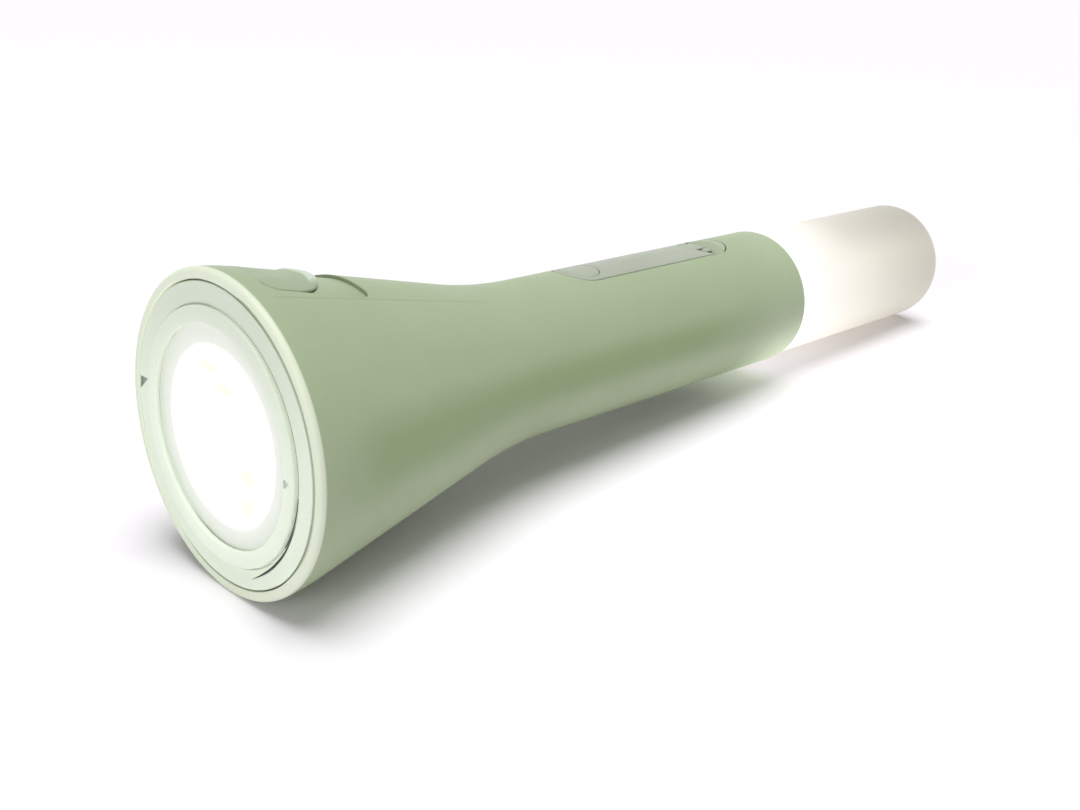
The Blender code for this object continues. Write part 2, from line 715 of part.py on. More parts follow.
def make_reflector():
    back = FLANGE_FRONT + REFLECTOR_DEPTH
    collar_end = SINK_FLANGE_FRONT - GAP
    cup = LENS_RING_INNER
    neck = LED_BOARD_RADIUS - BOARD_STEP
    collar = LED_BOARD_RADIUS + GAP
    middle = (FLANGE_FRONT + REFLECTOR_DEPTH / 2, cup - (cup - neck) / 3)
    flange_back = FLANGE_FRONT + FLANGE_THICKNESS
    wall_back = flange_back + REFLECTOR_WALL
    outline = [(FLANGE_FRONT, cup), (FLANGE_FRONT, FLANGE_BORE - GAP)]
    outline += [(flange_back, FLANGE_BORE - GAP), (flange_back, cup + REFLECTOR_WALL)]
    outline += [(wall_back, cup + REFLECTOR_WALL), (back - GAP, collar + REFLECTOR_WALL)]
    outline += [(collar_end, collar + REFLECTOR_WALL), (collar_end, collar)]
    outline += [(back, collar), (back, neck), middle]
    bm = bmesh.new()
    turned(bm, outline, INNER_SIDES)
    reflector = finish("reflector", bm, "mirror_plastic")
    bm = bmesh.new()
    seat = FLANGE_FRONT + SCREW_HEAD_HEIGHT + GAP
    outline = [(0.0, 0.0), (0.0, SCREW_HEAD_RADIUS + GAP), (seat, SCREW_HEAD_RADIUS + GAP)]
    outline += [(seat, SCREW_RADIUS + GAP), (LED_BOARD_FRONT, SCREW_RADIUS + GAP)]
    outline.append((LED_BOARD_FRONT, 0.0))
    for y, z in head_screw_places():
        turned(bm, outline, SMALL_SIDES, "X", (0.0, y, z))
    shape_with(reflector, tool("flange_screw_holes", bm))
    return reflector


def screw(name, head_end, direction, y, z, axis="X"):
    """A screw whose head's outer face is at head_end and whose shank runs in direction."""
    under_head = head_end + direction * SCREW_HEAD_HEIGHT
    tip = under_head + direction * SCREW_LENGTH * SCREW_SHARE
    outline = [(head_end, 0.0), (head_end, SCREW_HEAD_RADIUS), (under_head, SCREW_HEAD_RADIUS)]
    outline += [(under_head, SCREW_RADIUS), (tip, SCREW_RADIUS), (tip, 0.0)]
    bm = bmesh.new()
    centre = (0.0, y, z) if axis == "X" else (y, z, 0.0)
    turned(bm, outline, SMALL_SIDES, axis, centre)
    return finish(name, bm, "steel")


def make_led_board():
    back = LED_BOARD_FRONT + LED_BOARD_THICKNESS
    bm = bmesh.new()
    rod(bm, LED_BOARD_FRONT, back, LED_BOARD_RADIUS, INNER_SIDES)
    board = finish("led_board", bm, "circuit_board")
    for number, (count, share) in enumerate(LED_RING_SHARES):
        bm = bmesh.new()
        half = LED_SIZE / 2
        for y, z in on_circle(count, share * LED_BOARD_RADIUS):
            low = (LED_BOARD_FRONT - LED_HEIGHT, y - half, z - half)
            block(bm, low, (LED_BOARD_FRONT + LED_BOARD_THICKNESS / 2, y + half, z + half))
        shape_with(board, tool("led_ring_%d" % (number + 1), bm), "UNION")
    return board


def make_heat_sink():
    flange_radius = LED_BOARD_RADIUS + GAP + REFLECTOR_WALL
    flange_back = SINK_FLANGE_FRONT + SINK_FLANGE
    bm = bmesh.new()
    outline = [(SINK_FRONT, 0.0), (SINK_FRONT, LED_BOARD_RADIUS)]
    outline += [(SINK_FLANGE_FRONT, LED_BOARD_RADIUS), (SINK_FLANGE_FRONT, flange_radius)]
    outline += [(flange_back, flange_radius), (flange_back, 0.0)]
    turned(bm, outline, INNER_SIDES)
    sink = finish("heat_sink", bm, "aluminium")
    fins = bmesh.new()
    pitch = 2 * LED_BOARD_RADIUS / (FIN_COUNT + 1)
    for i in range(FIN_COUNT):
        y = (i - (FIN_COUNT - 1) / 2) * pitch
        half = math.sqrt(LED_BOARD_RADIUS**2 - (abs(y) + FIN_THICKNESS / 2) ** 2)
        low = (flange_back - SINK_FLANGE / 2, y - FIN_THICKNESS / 2, -half)
        block(fins, low, (SINK_BACK, y + FIN_THICKNESS / 2, half))
    shape_with(sink, tool("sink_fins", fins), "UNION")
    return sink


# Slide switch


def switch_skin(name, outline, below, above):
    """The part of the head's skin between two depths that lies inside an outline on its top."""
    bm = bmesh.new()
    turned(bm, skin(below, above), SHOWN_SIDES)
    obj = finish(name, bm, "pale_plastic")
    bm = bmesh.new()
    prism(bm, [outline], HANDLE_RADIUS, 2 * HEAD_RADIUS)
    shape_with(obj, tool(name + "_outline", bm), "INTERSECT")
    return obj


def post_front():
    """Front face of the slider's post."""
    return RECESS_START + POST_START


def slider_outline(half_width, start, end):
    """A tongue outline: square in front with round corners and a round back end."""
    centre = end - half_width
    back = arc((centre, 0.0), half_width, -math.pi / 2, math.pi / 2, 16)
    corner = RECESS_CORNER - GAP
    left = arc((start + corner, half_width - corner), corner, math.pi / 2, math.pi, 3)
    right = arc((start + corner, corner - half_width), corner, math.pi, 3 * math.pi / 2, 3)
    return back + left + right


def make_switch_slider():
    start = RECESS_START + GAP
    end = start + SLIDER_LENGTH
    half_width = RECESS_HALF_WIDTH - GAP
    depth = RECESS_DEPTH - GAP
    outline = slider_outline(half_width, start, end)
    slider = switch_skin("switch_slider", outline, depth, 0.0)

    middle = start + SLIDER_LENGTH * DISH_SHARE
    bm = bmesh.new()
    height = cone_radius(middle) + DISH_RADIUS - DISH_DEPTH
    bmesh.ops.create_icosphere(bm, subdivisions=3, radius=DISH_RADIUS)
    bmesh.ops.translate(bm, verts=bm.verts, vec=(middle, 0.0, height))
    shape_with(slider, tool("thumb_dish", bm))

    centre = end - half_width
    back = arc((centre, 0.0), half_width, -math.pi / 2, math.pi / 2, 16)
    front = arc((centre - SLIDER_LIP_WIDTH, 0.0), half_width, math.pi / 2, -math.pi / 2, 16)
    lip = switch_skin("slider_lip", back + front[1:-1], depth / 2, SLIDER_LIP)
    lip.hide_render = True
    lip.display_type = "WIRE"
    shape_with(slider, lip, "UNION")

    bm = bmesh.new()
    ends = (post_front(), post_front() + POST_LENGTH)
    outline = [(x, cone_radius(x) - (depth + DISH_DEPTH) / 2) for x in ends]
    outline += [(x, post_bottom()) for x in reversed(ends)]
    prism(bm, [outline], -POST_WIDTH / 2, POST_WIDTH / 2, "Y")
    shape_with(slider, tool("slider_post", bm), "UNION")
    return slider


def switch_top(along):
    """Height of the electrical switch's top face, parallel to the head's cone."""
    under_shell = cone_radius(along) - cone_radius(0.0) + LAMP_BORE
    return under_shell + cone_slope() * post_front() - SWITCH_DROP


def post_bottom():
    """Lower end of the slider's post, inside the trough of the electrical switch."""
    return switch_top(post_front() + POST_LENGTH) - SWITCH_TROUGH + 2 * GAP


def make_switch_body():
    """The electrical slide switch, drawn upright along X and sheared to the cone's slope."""
    back = CRADLE_FRONT - GAP
    front = back - SWITCH_LENGTH
    half = SWITCH_WIDTH / 2
    outline = [(x, switch_top(x)) for x in (front, back)]
    outline += [(x, switch_top(x) - SWITCH_HEIGHT) for x in (back, front)]
    bm = bmesh.new()
    prism(bm, [outline], -half, half, "Y")
    body = finish("switch_body", bm, "dark_plastic")
    trough_front = post_front() - 2 * GAP
    trough_back = post_front() + POST_LENGTH + SLIDE_TRAVEL + 2 * GAP
    outline = [(x, switch_top(x) + GAP) for x in (trough_front, trough_back)]
    outline += [(x, switch_top(x) - SWITCH_TROUGH) for x in (trough_back, trough_front)]
    bm = bmesh.new()
    prism(bm, [outline], -POST_WIDTH / 2 - GAP, POST_WIDTH / 2 + GAP, "Y")
    shape_with(body, tool("switch_trough", bm))
    return body


# Battery


def make_battery_cradle():
    disc_back = CRADLE_FRONT + CRADLE_DISC
    disc_radius = inner_radius(disc_back) - GAP
    room_end = CONTACT_BACK + GAP
    trough_end = room_end + CRADLE_END
    bm = bmesh.new()
    rod(bm, CRADLE_FRONT, disc_back, disc_radius, INNER_SIDES)
    cradle = finish("battery_cradle", bm, "dark_plastic")
    axis = (0.0, 0.0, BATTERY_Z)
    bm = bmesh.new()
    outer = CRADLE_RADIUS
    inner = BATTERY_RADIUS + GAP
    start = CRADLE_FRONT + CRADLE_DISC / 2
    outline = [(start, 0.0), (start, outer), (trough_end, outer), (trough_end, 0.0)]
    outline += [(room_end, 0.0), (room_end, inner), (disc_back, inner), (disc_back, 0.0)]
    turned_trough(bm, outline, axis)
    shape_with(cradle, tool("cradle_trough", bm), "UNION")
    bm = bmesh.new()
    hole = WIRE_RADIUS + GAP
    centre = (0.0, *WIRE_HOLE)
    rod(bm, CRADLE_FRONT - GAP, disc_back + GAP, hole, SMALL_SIDES, "X", centre)
    shape_with(cradle, tool("cradle_wire_hole", bm))
    return cradle


def turned_trough(bm, outline, centre):
    """Turn half an outline below the axis, from side to side, and close it across the top."""
    steps = 20
    rings = []
    for i in range(steps + 1):
        angle = math.pi / 2 + math.pi * i / steps
        ring = []
        for along, radius in outline:
            point = Vector((along, radius * math.sin(angle), radius * math.cos(angle)))
            ring.append(bm.verts.new(point + Vector(centre)))
        rings.append(ring)
    for first, second in zip(rings, rings[1:]):
        for i in range(len(outline)):
            j = (i + 1) % len(outline)
            bm.faces.new([first[i], first[j], second[j], second[i]])
    bm.faces.new(rings[0])
    bm.faces.new(rings[-1])
    bmesh.ops.remove_doubles(bm, verts=bm.verts, dist=1e-6)


def make_battery():
    centre = (0.0, 0.0, BATTERY_Z)
    edge = BATTERY_EDGE
    outline = [(BATTERY_FRONT, 0.0), (BATTERY_FRONT, BATTERY_RADIUS - edge)]
    outline += [(BATTERY_FRONT + edge, BATTERY_RADIUS), (BATTERY_BACK - edge, BATTERY_RADIUS)]
    outline += [(BATTERY_BACK, BATTERY_RADIUS - edge), (BATTERY_BACK, BATTERY_CAP_RADIUS)]
    outline += [(BATTERY_TIP, BATTERY_CAP_RADIUS), (BATTERY_TIP, 0.0)]
    bm = bmesh.new()
    turned(bm, outline, INNER_SIDES, "X", centre)
    return finish("battery_cell", bm, "battery_sleeve")


def wire(name, points, radius, finish_name):
    """A round wire through the points, with closed ends."""
    curve = bpy.data.curves.new(name, "CURVE")
    curve.dimensions = "3D"
    curve.bevel_depth = radius
    curve.bevel_resolution = 1
    curve.use_fill_caps = True
    spline = curve.splines.new("POLY")
    spline.points.add(len(points) - 1)
    for place, point in zip(points, spline.points):
        point.co = (*place, 1.0)
    curve.materials.append(material(finish_name))
    obj = bpy.data.objects.new(name, curve)
    bpy.context.collection.objects.link(obj)
    obj.parent = bpy.data.objects["torch"]
    return obj


def smooth(route, steps=4):
    """Points on a smooth curve through a route's own points."""
    knots = [Vector(point) for point in route]
    knots = [2 * knots[0] - knots[1], *knots, 2 * knots[-1] - knots[-2]]
    points = []
    for a, b, c, d in zip(knots, knots[1:], knots[2:], knots[3:]):
        for i in range(steps):
            t = i / steps
            bend = (2 * a - 5 * b + 4 * c - d) * t * t + (3 * b - 3 * c + d - a) * t**3
            points.append((2 * b + (c - a) * t + bend) / 2)
    return points + [knots[-2]]


def make_wires():
    """Leads from the control board forwards to the lamp and back to the lantern lamp."""
    lift = CONTROL_TOP + WIRE_RADIUS + GAP
    front, back = control_span()
    y, z = WIRE_HOLE
    side = control_half()
    route = [(CRADLE_FRONT, y, z), (BATTERY_FRONT + BATTERY_LENGTH / 2, y, z)]
    route.append((BATTERY_BACK - BATTERY_RADIUS, side, 0.0))
    route.append((front - CONTROL_END_ROOM, side, BASE_PLATE_BOTTOM - 4 * WIRE_RADIUS))
    route.append((front + GAP, side - WIRE_RADIUS, lift))
    wire("lead_wire_lamp", smooth(route), WIRE_RADIUS, "black_rubber")
    y, z = TAIL_WIRE_HOLE
    route = [(back - PILLAR_INSET / 2, y, lift), (LEDGE_FRONT, y, (lift + z) / 2)]
    route += [(BULKHEAD_FRONT - GAP, y, z), (TAIL_BOARD_FRONT - GAP, y, z)]
    return wire("lead_wire_tail", smooth(route), WIRE_RADIUS, "black_rubber")


def make_contacts():
    start = CRADLE_FRONT + CRADLE_DISC + GAP + SPRING_WIRE
    end = BATTERY_FRONT - GAP - SPRING_WIRE
    steps = int(SPRING_TURNS * SPRING_STEPS)
    coil = []
    for i in range(steps + 1):
        share = i / steps
        angle = math.tau * SPRING_TURNS * share
        radius = SPRING_RADIUS * (1.0 - SPRING_TAPER_RATIO * share)
        y = radius * math.sin(angle)
        coil.append((start + (end - start) * share, y, BATTERY_Z + radius * math.cos(angle)))
    spring = wire("contact_spring", coil, SPRING_WIRE, "steel")

    bm = bmesh.new()
    centre = (0.0, 0.0, BATTERY_Z)
    plate_front = BATTERY_TIP + GAP
    rod(bm, plate_front, CONTACT_BACK, CONTACT_RADIUS, INNER_SIDES, "X", centre)
    finish("contact_plate", bm, "brass")
    return spring


# Crank


def make_crank_tray():
    front = CRANK_START - TRAY_WALL
    back = CRANK_START + CRANK_LENGTH + TRAY_WALL
    outside = CRANK_HALF_WIDTH + TRAY_WALL
    trim = HANDLE_BORE - GAP
    bm = bmesh.new()
    prism(bm, [pill(front, back, outside)], TRAY_BOTTOM, HANDLE_RADIUS)
    tray = finish("crank_tray", bm, "sage_plastic")

    bm = bmesh.new()
    wall = pill(front + SLIVER, front + 2 * outside - SLIVER, outside - SLIVER)
    prism(bm, [wall], WELL_TOP - WELL_FLOOR, TRAY_TOP)
    shape_with(tray, tool("knob_well_outside", bm), "UNION")

    bm = bmesh.new()
    rod(bm, front - TRAY_WALL, back + TRAY_WALL, trim, SHOWN_SIDES)
    shape_with(tray, tool("tray_trim", bm), "INTERSECT")

    bm = bmesh.new()
    end = CRANK_START + CRANK_LENGTH
    prism(bm, [pill(CRANK_START, end, CRANK_HALF_WIDTH)], TRAY_TOP, 2 * HANDLE_RADIUS)
    shape_with(tray, tool("tray_inside", bm))

    bm = bmesh.new()
    well_end = CRANK_START + 2 * CRANK_HALF_WIDTH - SLIVER
    prism(bm, [pill(CRANK_START + SLIVER, well_end, CRANK_HALF_WIDTH - SLIVER)], WELL_TOP, ARM_TOP)
    shape_with(tray, tool("knob_well_inside", bm))

    bm = bmesh.new()
    bore = SHAFT_RADIUS + GAP + BUSH_WALL + GAP
    rod(bm, TRAY_BOTTOM - GAP, ARM_TOP, bore, INNER_SIDES, "Z", (HUB_AT, 0.0, 0.0))
    shape_with(tray, tool("tray_bush_hole", bm))
    return tray


def arm_outline():
    """The arm from its round tip to the concave edge round the hub and the hinge tongue."""
    half = CRANK_HALF_WIDTH - GAP
    hub_clear = HUB_RADIUS + GAP
    tip = arc((KNOB_AT, 0.0), half, math.pi / 2, 3 * math.pi / 2, 14)
    horn = math.asin(half / hub_clear)
    root = math.asin(TONGUE_HALF_WIDTH / hub_clear)
    lower = arc((HUB_AT, 0.0), hub_clear, math.pi + horn, math.pi + root, 6)
    upper = arc((HUB_AT, 0.0), hub_clear, math.pi - root, math.pi - horn, 6)
    tongue = [(HINGE_AT, -TONGUE_HALF_WIDTH), (HINGE_AT, TONGUE_HALF_WIDTH)]
    return tip + lower + tongue + upper


def make_crank_arm():
    hinge = (HINGE_AT, 0.0, HINGE_Z)
    bm = bmesh.new()
    prism(bm, [arm_outline()], ARM_BOTTOM, ARM_TOP + GAP)
    arm = finish("crank_arm", bm, "grey_plastic", hinge)

    eye = HINGE_DROP
    bm = bmesh.new()
    reach = HINGE_AT - HUB_AT + HUB_RADIUS + GAP
    under = [(HINGE_AT - reach, ARM_BOTTOM - GAP), (HINGE_AT + eye, ARM_BOTTOM - GAP)]
    under += [(HINGE_AT + eye, HINGE_Z), *arc((HINGE_AT, HINGE_Z), eye, 0.0, -math.pi / 2, 6)]
    under.append((HINGE_AT - reach, HINGE_Z - eye))
    clear = TONGUE_HALF_WIDTH + GAP / 2
    prism(bm, [under], -clear, clear, "Y")
    shape_with(arm, tool("under_tongue", bm))

    bm = bmesh.new()
    rod(bm, -TONGUE_HALF_WIDTH, TONGUE_HALF_WIDTH, eye, SMALL_SIDES, "Y", hinge)
    shape_with(arm, tool("tongue_eye", bm), "UNION")

    bm = bmesh.new()
    reach = 2 * TONGUE_HALF_WIDTH
    rod(bm, -reach, reach, HINGE_PIN_RADIUS + GAP, SMALL_SIDES, "Y", hinge)
    shape_with(arm, tool("tongue_bore", bm))

    bore = KNOB_PIN_RADIUS + GAP
    seat = ARM_TOP - KNOB_CAP_THICKNESS - GAP
    seat_radius = KNOB_CAP_RADIUS + GAP
    outline = [(ARM_BOTTOM - GAP, 0.0), (ARM_BOTTOM - GAP, bore), (seat, bore)]
    outline += [(seat, seat_radius), (ARM_TOP + 2 * GAP, seat_radius), (ARM_TOP + 2 * GAP, 0.0)]
    bm = bmesh.new()
    turned(bm, outline, INNER_SIDES, "Z", (KNOB_AT, 0.0, 0.0))
    shape_with(arm, tool("knob_pin_seat", bm))
    return rounded_off(arm)


def rounded_off(obj):
    """Trim a crank piece so that its top follows the handle's skin."""
    bm = bmesh.new()
    rod(bm, CRANK_START, CRANK_START + CRANK_LENGTH, HANDLE_RADIUS, SHOWN_SIDES)
    shape_with(obj, tool(obj.name + "_trim", bm), "INTERSECT")
    return obj


def make_knob():
    centre = (KNOB_AT, 0.0, 0.0)
    shank_end = KNOB_BOTTOM + GAP + KNOB_RIVET_THICKNESS
    outline = [(ARM_TOP + GAP, 0.0), (ARM_TOP + GAP, KNOB_CAP_RADIUS)]
    outline += [(ARM_TOP - KNOB_CAP_THICKNESS, KNOB_CAP_RADIUS)]
    outline += [(ARM_TOP - KNOB_CAP_THICKNESS, KNOB_PIN_RADIUS), (shank_end, KNOB_PIN_RADIUS)]
    outline += [(shank_end, KNOB_RIVET_RADIUS), (KNOB_BOTTOM + GAP, KNOB_RIVET_RADIUS)]
    outline.append((KNOB_BOTTOM + GAP, 0.0))
    bm = bmesh.new()
    turned(bm, outline, INNER_SIDES, "Z", centre)
    pin = rounded_off(finish("knob_pin", bm, "grey_plastic"))

    bore = KNOB_PIN_RADIUS + GAP
    pocket = KNOB_RIVET_RADIUS + GAP
    pocket_top = shank_end + GAP
    edge = KNOB_EDGE
    outline = [(KNOB_TOP, bore), (KNOB_TOP, KNOB_RADIUS - edge), (KNOB_TOP - edge, KNOB_RADIUS)]
    outline += [(KNOB_BOTTOM + edge, KNOB_RADIUS), (KNOB_BOTTOM, KNOB_RADIUS - edge)]
    outline += [(KNOB_BOTTOM, pocket), (pocket_top, pocket), (pocket_top, bore)]
    bm = bmesh.new()
    turned(bm, outline, INNER_SIDES, "Z", centre)
    finish("crank_knob", bm, "grey_plastic", centre[:2] + (KNOB_TOP,))
    return pin


def make_crank_hub():
    hinge = (HINGE_AT, 0.0, HINGE_Z)
    shaft_end = BASE_PLATE_TOP + GAP
    tip_end = BASE_PLATE_BOTTOM + GAP
    outline = [(ARM_TOP + GAP, 0.0), (ARM_TOP + GAP, HUB_RADIUS), (ARM_BOTTOM, HUB_RADIUS)]
    outline += [(ARM_BOTTOM, SHAFT_RADIUS), (shaft_end, SHAFT_RADIUS)]
    outline += [(shaft_end, SHAFT_TIP_RADIUS), (tip_end, SHAFT_TIP_RADIUS), (tip_end, 0.0)]
    bm = bmesh.new()
    turned(bm, outline, INNER_SIDES, "Z", (HUB_AT, 0.0, 0.0))
    hub = finish("crank_hub", bm, "grey_plastic", (HUB_AT, 0.0, ARM_BOTTOM))

    # The space that the tongue turns in, between the ears
    base_top = HINGE_Z - HINGE_DROP - GAP
    slot_back = HINGE_AT + HINGE_DROP + GAP
    slot_half = TONGUE_HALF_WIDTH + GAP
    ear_half = slot_half + EAR_WIDTH
    wide = 2 * CRANK_HALF_WIDTH
    front = HUB_AT - wide
    high = ARM_TOP + HINGE_DROP
    bm = bmesh.new()
    block(bm, (front, -slot_half, base_top), (slot_back, slot_half, high))
    shape_with(hub, tool("hub_slot", bm))
    for side in (-1, 1):
        bm = bmesh.new()
        edges = sorted((side * ear_half, side * wide))
        block(bm, (front, edges[0], base_top), (slot_back + GAP, edges[1], high))
        shape_with(hub, tool("hub_side_cut_%d" % (side + 2), bm))

    # The ramp that the unfolded arm rests on
    run = 2 * CRANK_LENGTH
    turn = math.pi - FOLD_LIMIT
    normal = (math.sin(turn), -math.cos(turn))
    clear = HINGE_DROP + GAP
    foot = (HINGE_AT + normal[0] * clear, HINGE_Z + normal[1] * clear)
    start = (slot_back, foot[1] + (slot_back - foot[0]) * math.tan(turn))
    end = (foot[0] + math.cos(turn) * run, foot[1] + math.sin(turn) * run)
    bm = bmesh.new()
    prism(bm, [[start, end, (slot_back, end[1])]], -wide, wide, "Y")
    shape_with(hub, tool("hub_ramp", bm))

    # The ears are round about the hinge, where the arm turns past them
    bm = bmesh.new()
    rim = arc((HINGE_AT, HINGE_Z), EAR_RADIUS, 0.0, math.pi, 10)
    outline = [(front, high), (slot_back, high), start, *rim]
    outline += [(HINGE_AT - EAR_RADIUS, base_top), (front, base_top)]
    prism(bm, [outline], -wide, wide, "Y")
    shape_with(hub, tool("ear_fronts", bm))

    bm = bmesh.new()
    rod(bm, -wide, wide, HINGE_PIN_RADIUS + GAP, SMALL_SIDES, "Y", hinge)
    shape_with(hub, tool("ear_bores", bm))
    rounded_off(hub)

    bm = bmesh.new()
    rod(bm, -ear_half, ear_half, HINGE_PIN_RADIUS, SMALL_SIDES, "Y", hinge)
    finish("hinge_pin", bm, "steel")
    return hub


def make_hub_bush():
    inner = SHAFT_RADIUS + GAP
    outer = inner + BUSH_WALL
    flange_top = TOP_PLATE_BOTTOM - GAP
    flange = flange_top - BUSH_FLANGE
    outline = [(TRAY_TOP, inner), (TRAY_TOP, outer), (flange_top, outer)]
    outline += [(flange_top, outer + BUSH_WALL), (flange, outer + BUSH_WALL), (flange, inner)]
    bm = bmesh.new()
    turned(bm, outline, INNER_SIDES, "Z", (HUB_AT, 0.0, 0.0))
    finish("hub_bush", bm, "brass")

    clip_top = DRIVE_BOTTOM - GAP
    clip_bottom = clip_top - CLIP_THICKNESS
    bm = bmesh.new()
    outer = inner + BUSH_WALL / 2
    outline = [(clip_top, inner), (clip_top, outer), (clip_bottom, outer), (clip_bottom, inner)]
    turned(bm, outline, INNER_SIDES, "Z", (HUB_AT, 0.0, 0.0))
    return finish("hub_clip", bm, "steel")


# Gear train


def gear_outline(teeth, centre, phase):
    """Straight-sided teeth, thinned so that a meshing pair keeps its clearance."""
    pitch_radius = GEAR_MODULE * teeth / 2
    tip = pitch_radius + TOOTH_TIP_RATIO * GEAR_MODULE
    root = pitch_radius - TOOTH_ROOT_RATIO * GEAR_MODULE
    half_tooth = TOOTH_SHARE * math.pi * GEAR_MODULE / 2
    flank = math.tan(TOOTH_ANGLE)
    half_tip = half_tooth - (tip - pitch_radius) * flank
    half_root = half_tooth + (pitch_radius - root) * flank
    points = []
    for i in range(teeth):
        middle = math.tau * i / teeth + phase
        corners = ((root, -half_root), (tip, -half_tip), (tip, half_tip), (root, half_root))
        for radius, half in corners:
            angle = middle + half / radius
            x = centre[0] + radius * math.cos(angle)
            points.append((x, centre[1] + radius * math.sin(angle)))
    return points


def make_drive_gear():
    centre = (HUB_AT, 0.0)
    bore = circle(centre, CLUTCH_RADIUS + GAP, INNER_SIDES)
    bm = bmesh.new()
    prism(bm, [gear_outline(DRIVE_TEETH, centre, 0.0), bore], DRIVE_BOTTOM, DRIVE_TOP)
    finish("drive_gear", bm, "nylon", centre + (DRIVE_BOTTOM,))
    bm = bmesh.new()
    inner = SHAFT_RADIUS + GAP
    outline = [(DRIVE_BOTTOM, inner), (DRIVE_BOTTOM, CLUTCH_RADIUS)]
    outline += [(DRIVE_TOP, CLUTCH_RADIUS), (DRIVE_TOP, inner)]
    turned(bm, outline, INNER_SIDES, "Z", (HUB_AT, 0.0, 0.0))
    return finish("clutch_hub", bm, "steel")


def make_idler():
    centre = (IDLER_AT, 0.0)
    phase = math.pi / PINION_TEETH
    bore = circle(centre, AXLE_RADIUS + GAP, SMALL_SIDES)
    bm = bmesh.new()
    prism(bm, [gear_outline(WHEEL_TEETH, centre, 0.0), bore], WHEEL_BOTTOM, WHEEL_TOP)
    idler = finish("idler_gear", bm, "nylon", centre + (WHEEL_BOTTOM,))
    bm = bmesh.new()
    low = (WHEEL_BOTTOM + WHEEL_TOP) / 2
    prism(bm, [gear_outline(PINION_TEETH, centre, phase), bore], low, DRIVE_TOP + GAP)
    shape_with(idler, tool("idler_pinion", bm), "UNION")
    bm = bmesh.new()
    place = (IDLER_AT, 0.0, 0.0)
    rod(bm, BASE_PLATE_TOP + GAP, TOP_PLATE_BOTTOM - GAP, AXLE_RADIUS, SMALL_SIDES, "Z", place)
    finish("idler_axle", bm, "steel")
    return idler


def make_rotor():
    shaft = ROTOR_SHAFT_RADIUS
    top = WHEEL_TOP + GAP
    foot = CONTROL_TOP + GAP
    outline = [(top, 0.0), (top, shaft), (MAGNET_TOP, shaft), (MAGNET_TOP, MAGNET_RADIUS)]
    outline += [(MAGNET_BOTTOM, MAGNET_RADIUS), (MAGNET_BOTTOM, shaft), (foot, shaft), (foot, 0.0)]
    place = (ROTOR_AT, 0.0, 0.0)
    bm = bmesh.new()
    turned(bm, outline, INNER_SIDES, "Z", place)
    rotor = finish("rotor", bm, "steel", (ROTOR_AT, 0.0, MAGNET_TOP))
    bm = bmesh.new()
    teeth = gear_outline(PINION_TEETH, (ROTOR_AT, 0.0), math.pi / PINION_TEETH)
    prism(bm, [teeth], WHEEL_BOTTOM, WHEEL_TOP)
    shape_with(rotor, tool("rotor_pinion", bm), "UNION")
    return rotor


def make_stator():
    place = (ROTOR_AT, 0.0, 0.0)
    inner = MAGNET_RADIUS + STATOR_AIR_GAP
    core_bottom = MAGNET_TOP - STATOR_HEIGHT
    outline = [(MAGNET_TOP, inner), (MAGNET_TOP, STATOR_RADIUS)]
    outline += [(core_bottom, STATOR_RADIUS), (core_bottom, inner)]
    bm = bmesh.new()
    turned(bm, outline, INNER_SIDES, "Z", place)
    finish("stator_core", bm, "steel")
    coil_top = core_bottom - GAP
    bulge = STATOR_RADIUS - GAP
    outline = [(coil_top, inner), (coil_top, bulge - GAP), (coil_top - GAP, bulge)]
    outline += [(MAGNET_BOTTOM + GAP, bulge), (MAGNET_BOTTOM, bulge - GAP)]
    outline.append((MAGNET_BOTTOM, inner))
    bm = bmesh.new()
    turned(bm, outline, INNER_SIDES, "Z", place)
    return finish("stator_coil", bm, "copper")


def plate_span():
    """Front and back ends of the gearbox's top plate."""
    front = KNOB_AT + CRANK_HALF_WIDTH + TRAY_WALL + 3 * GAP
    return front, LEDGE_FRONT - GAP


def gearbox_posts():
    """(x, y) places of the posts between the two plates."""
    front, back = plate_span()
    inset = POST_RADIUS + 2 * GAP
    side = post_side()
    return [(x, y) for x in (front + inset, back - inset) for y in (-side, side)]


def post_side():
    """How far the posts stand to each side, just inside the top plate's edge."""
    return top_plate_half() - POST_RADIUS - GAP


def top_plate_half():
    """Half of the width that the handle's bore leaves at the top plate's upper face."""
    return math.sqrt(HANDLE_BORE**2 - TOP_PLATE_TOP**2) - GAP


def control_half():
    """Half of the width that the handle's bore leaves at the control board's lower face."""
    return math.sqrt(HANDLE_BORE**2 - CONTROL_BOTTOM**2) - CONTROL_MARGIN


def control_span():
    """Front and back ends of the control board."""
    return CRANK_START + CONTROL_END_ROOM, LEDGE_FRONT - CONTROL_END_ROOM


def board_places():
    """(x, y) places of the pillars that carry the control board."""
    front, back = control_span()
    middle = ROTOR_AT + STATOR_RADIUS + POST_RADIUS + PILLAR_ROOM
    side = control_half() - PILLAR_INSET
    rows = (front + PILLAR_INSET, back - PILLAR_INSET)
    return [(x, y) for x in rows for y in (-side, side)] + [(middle, -side), (middle, side)]


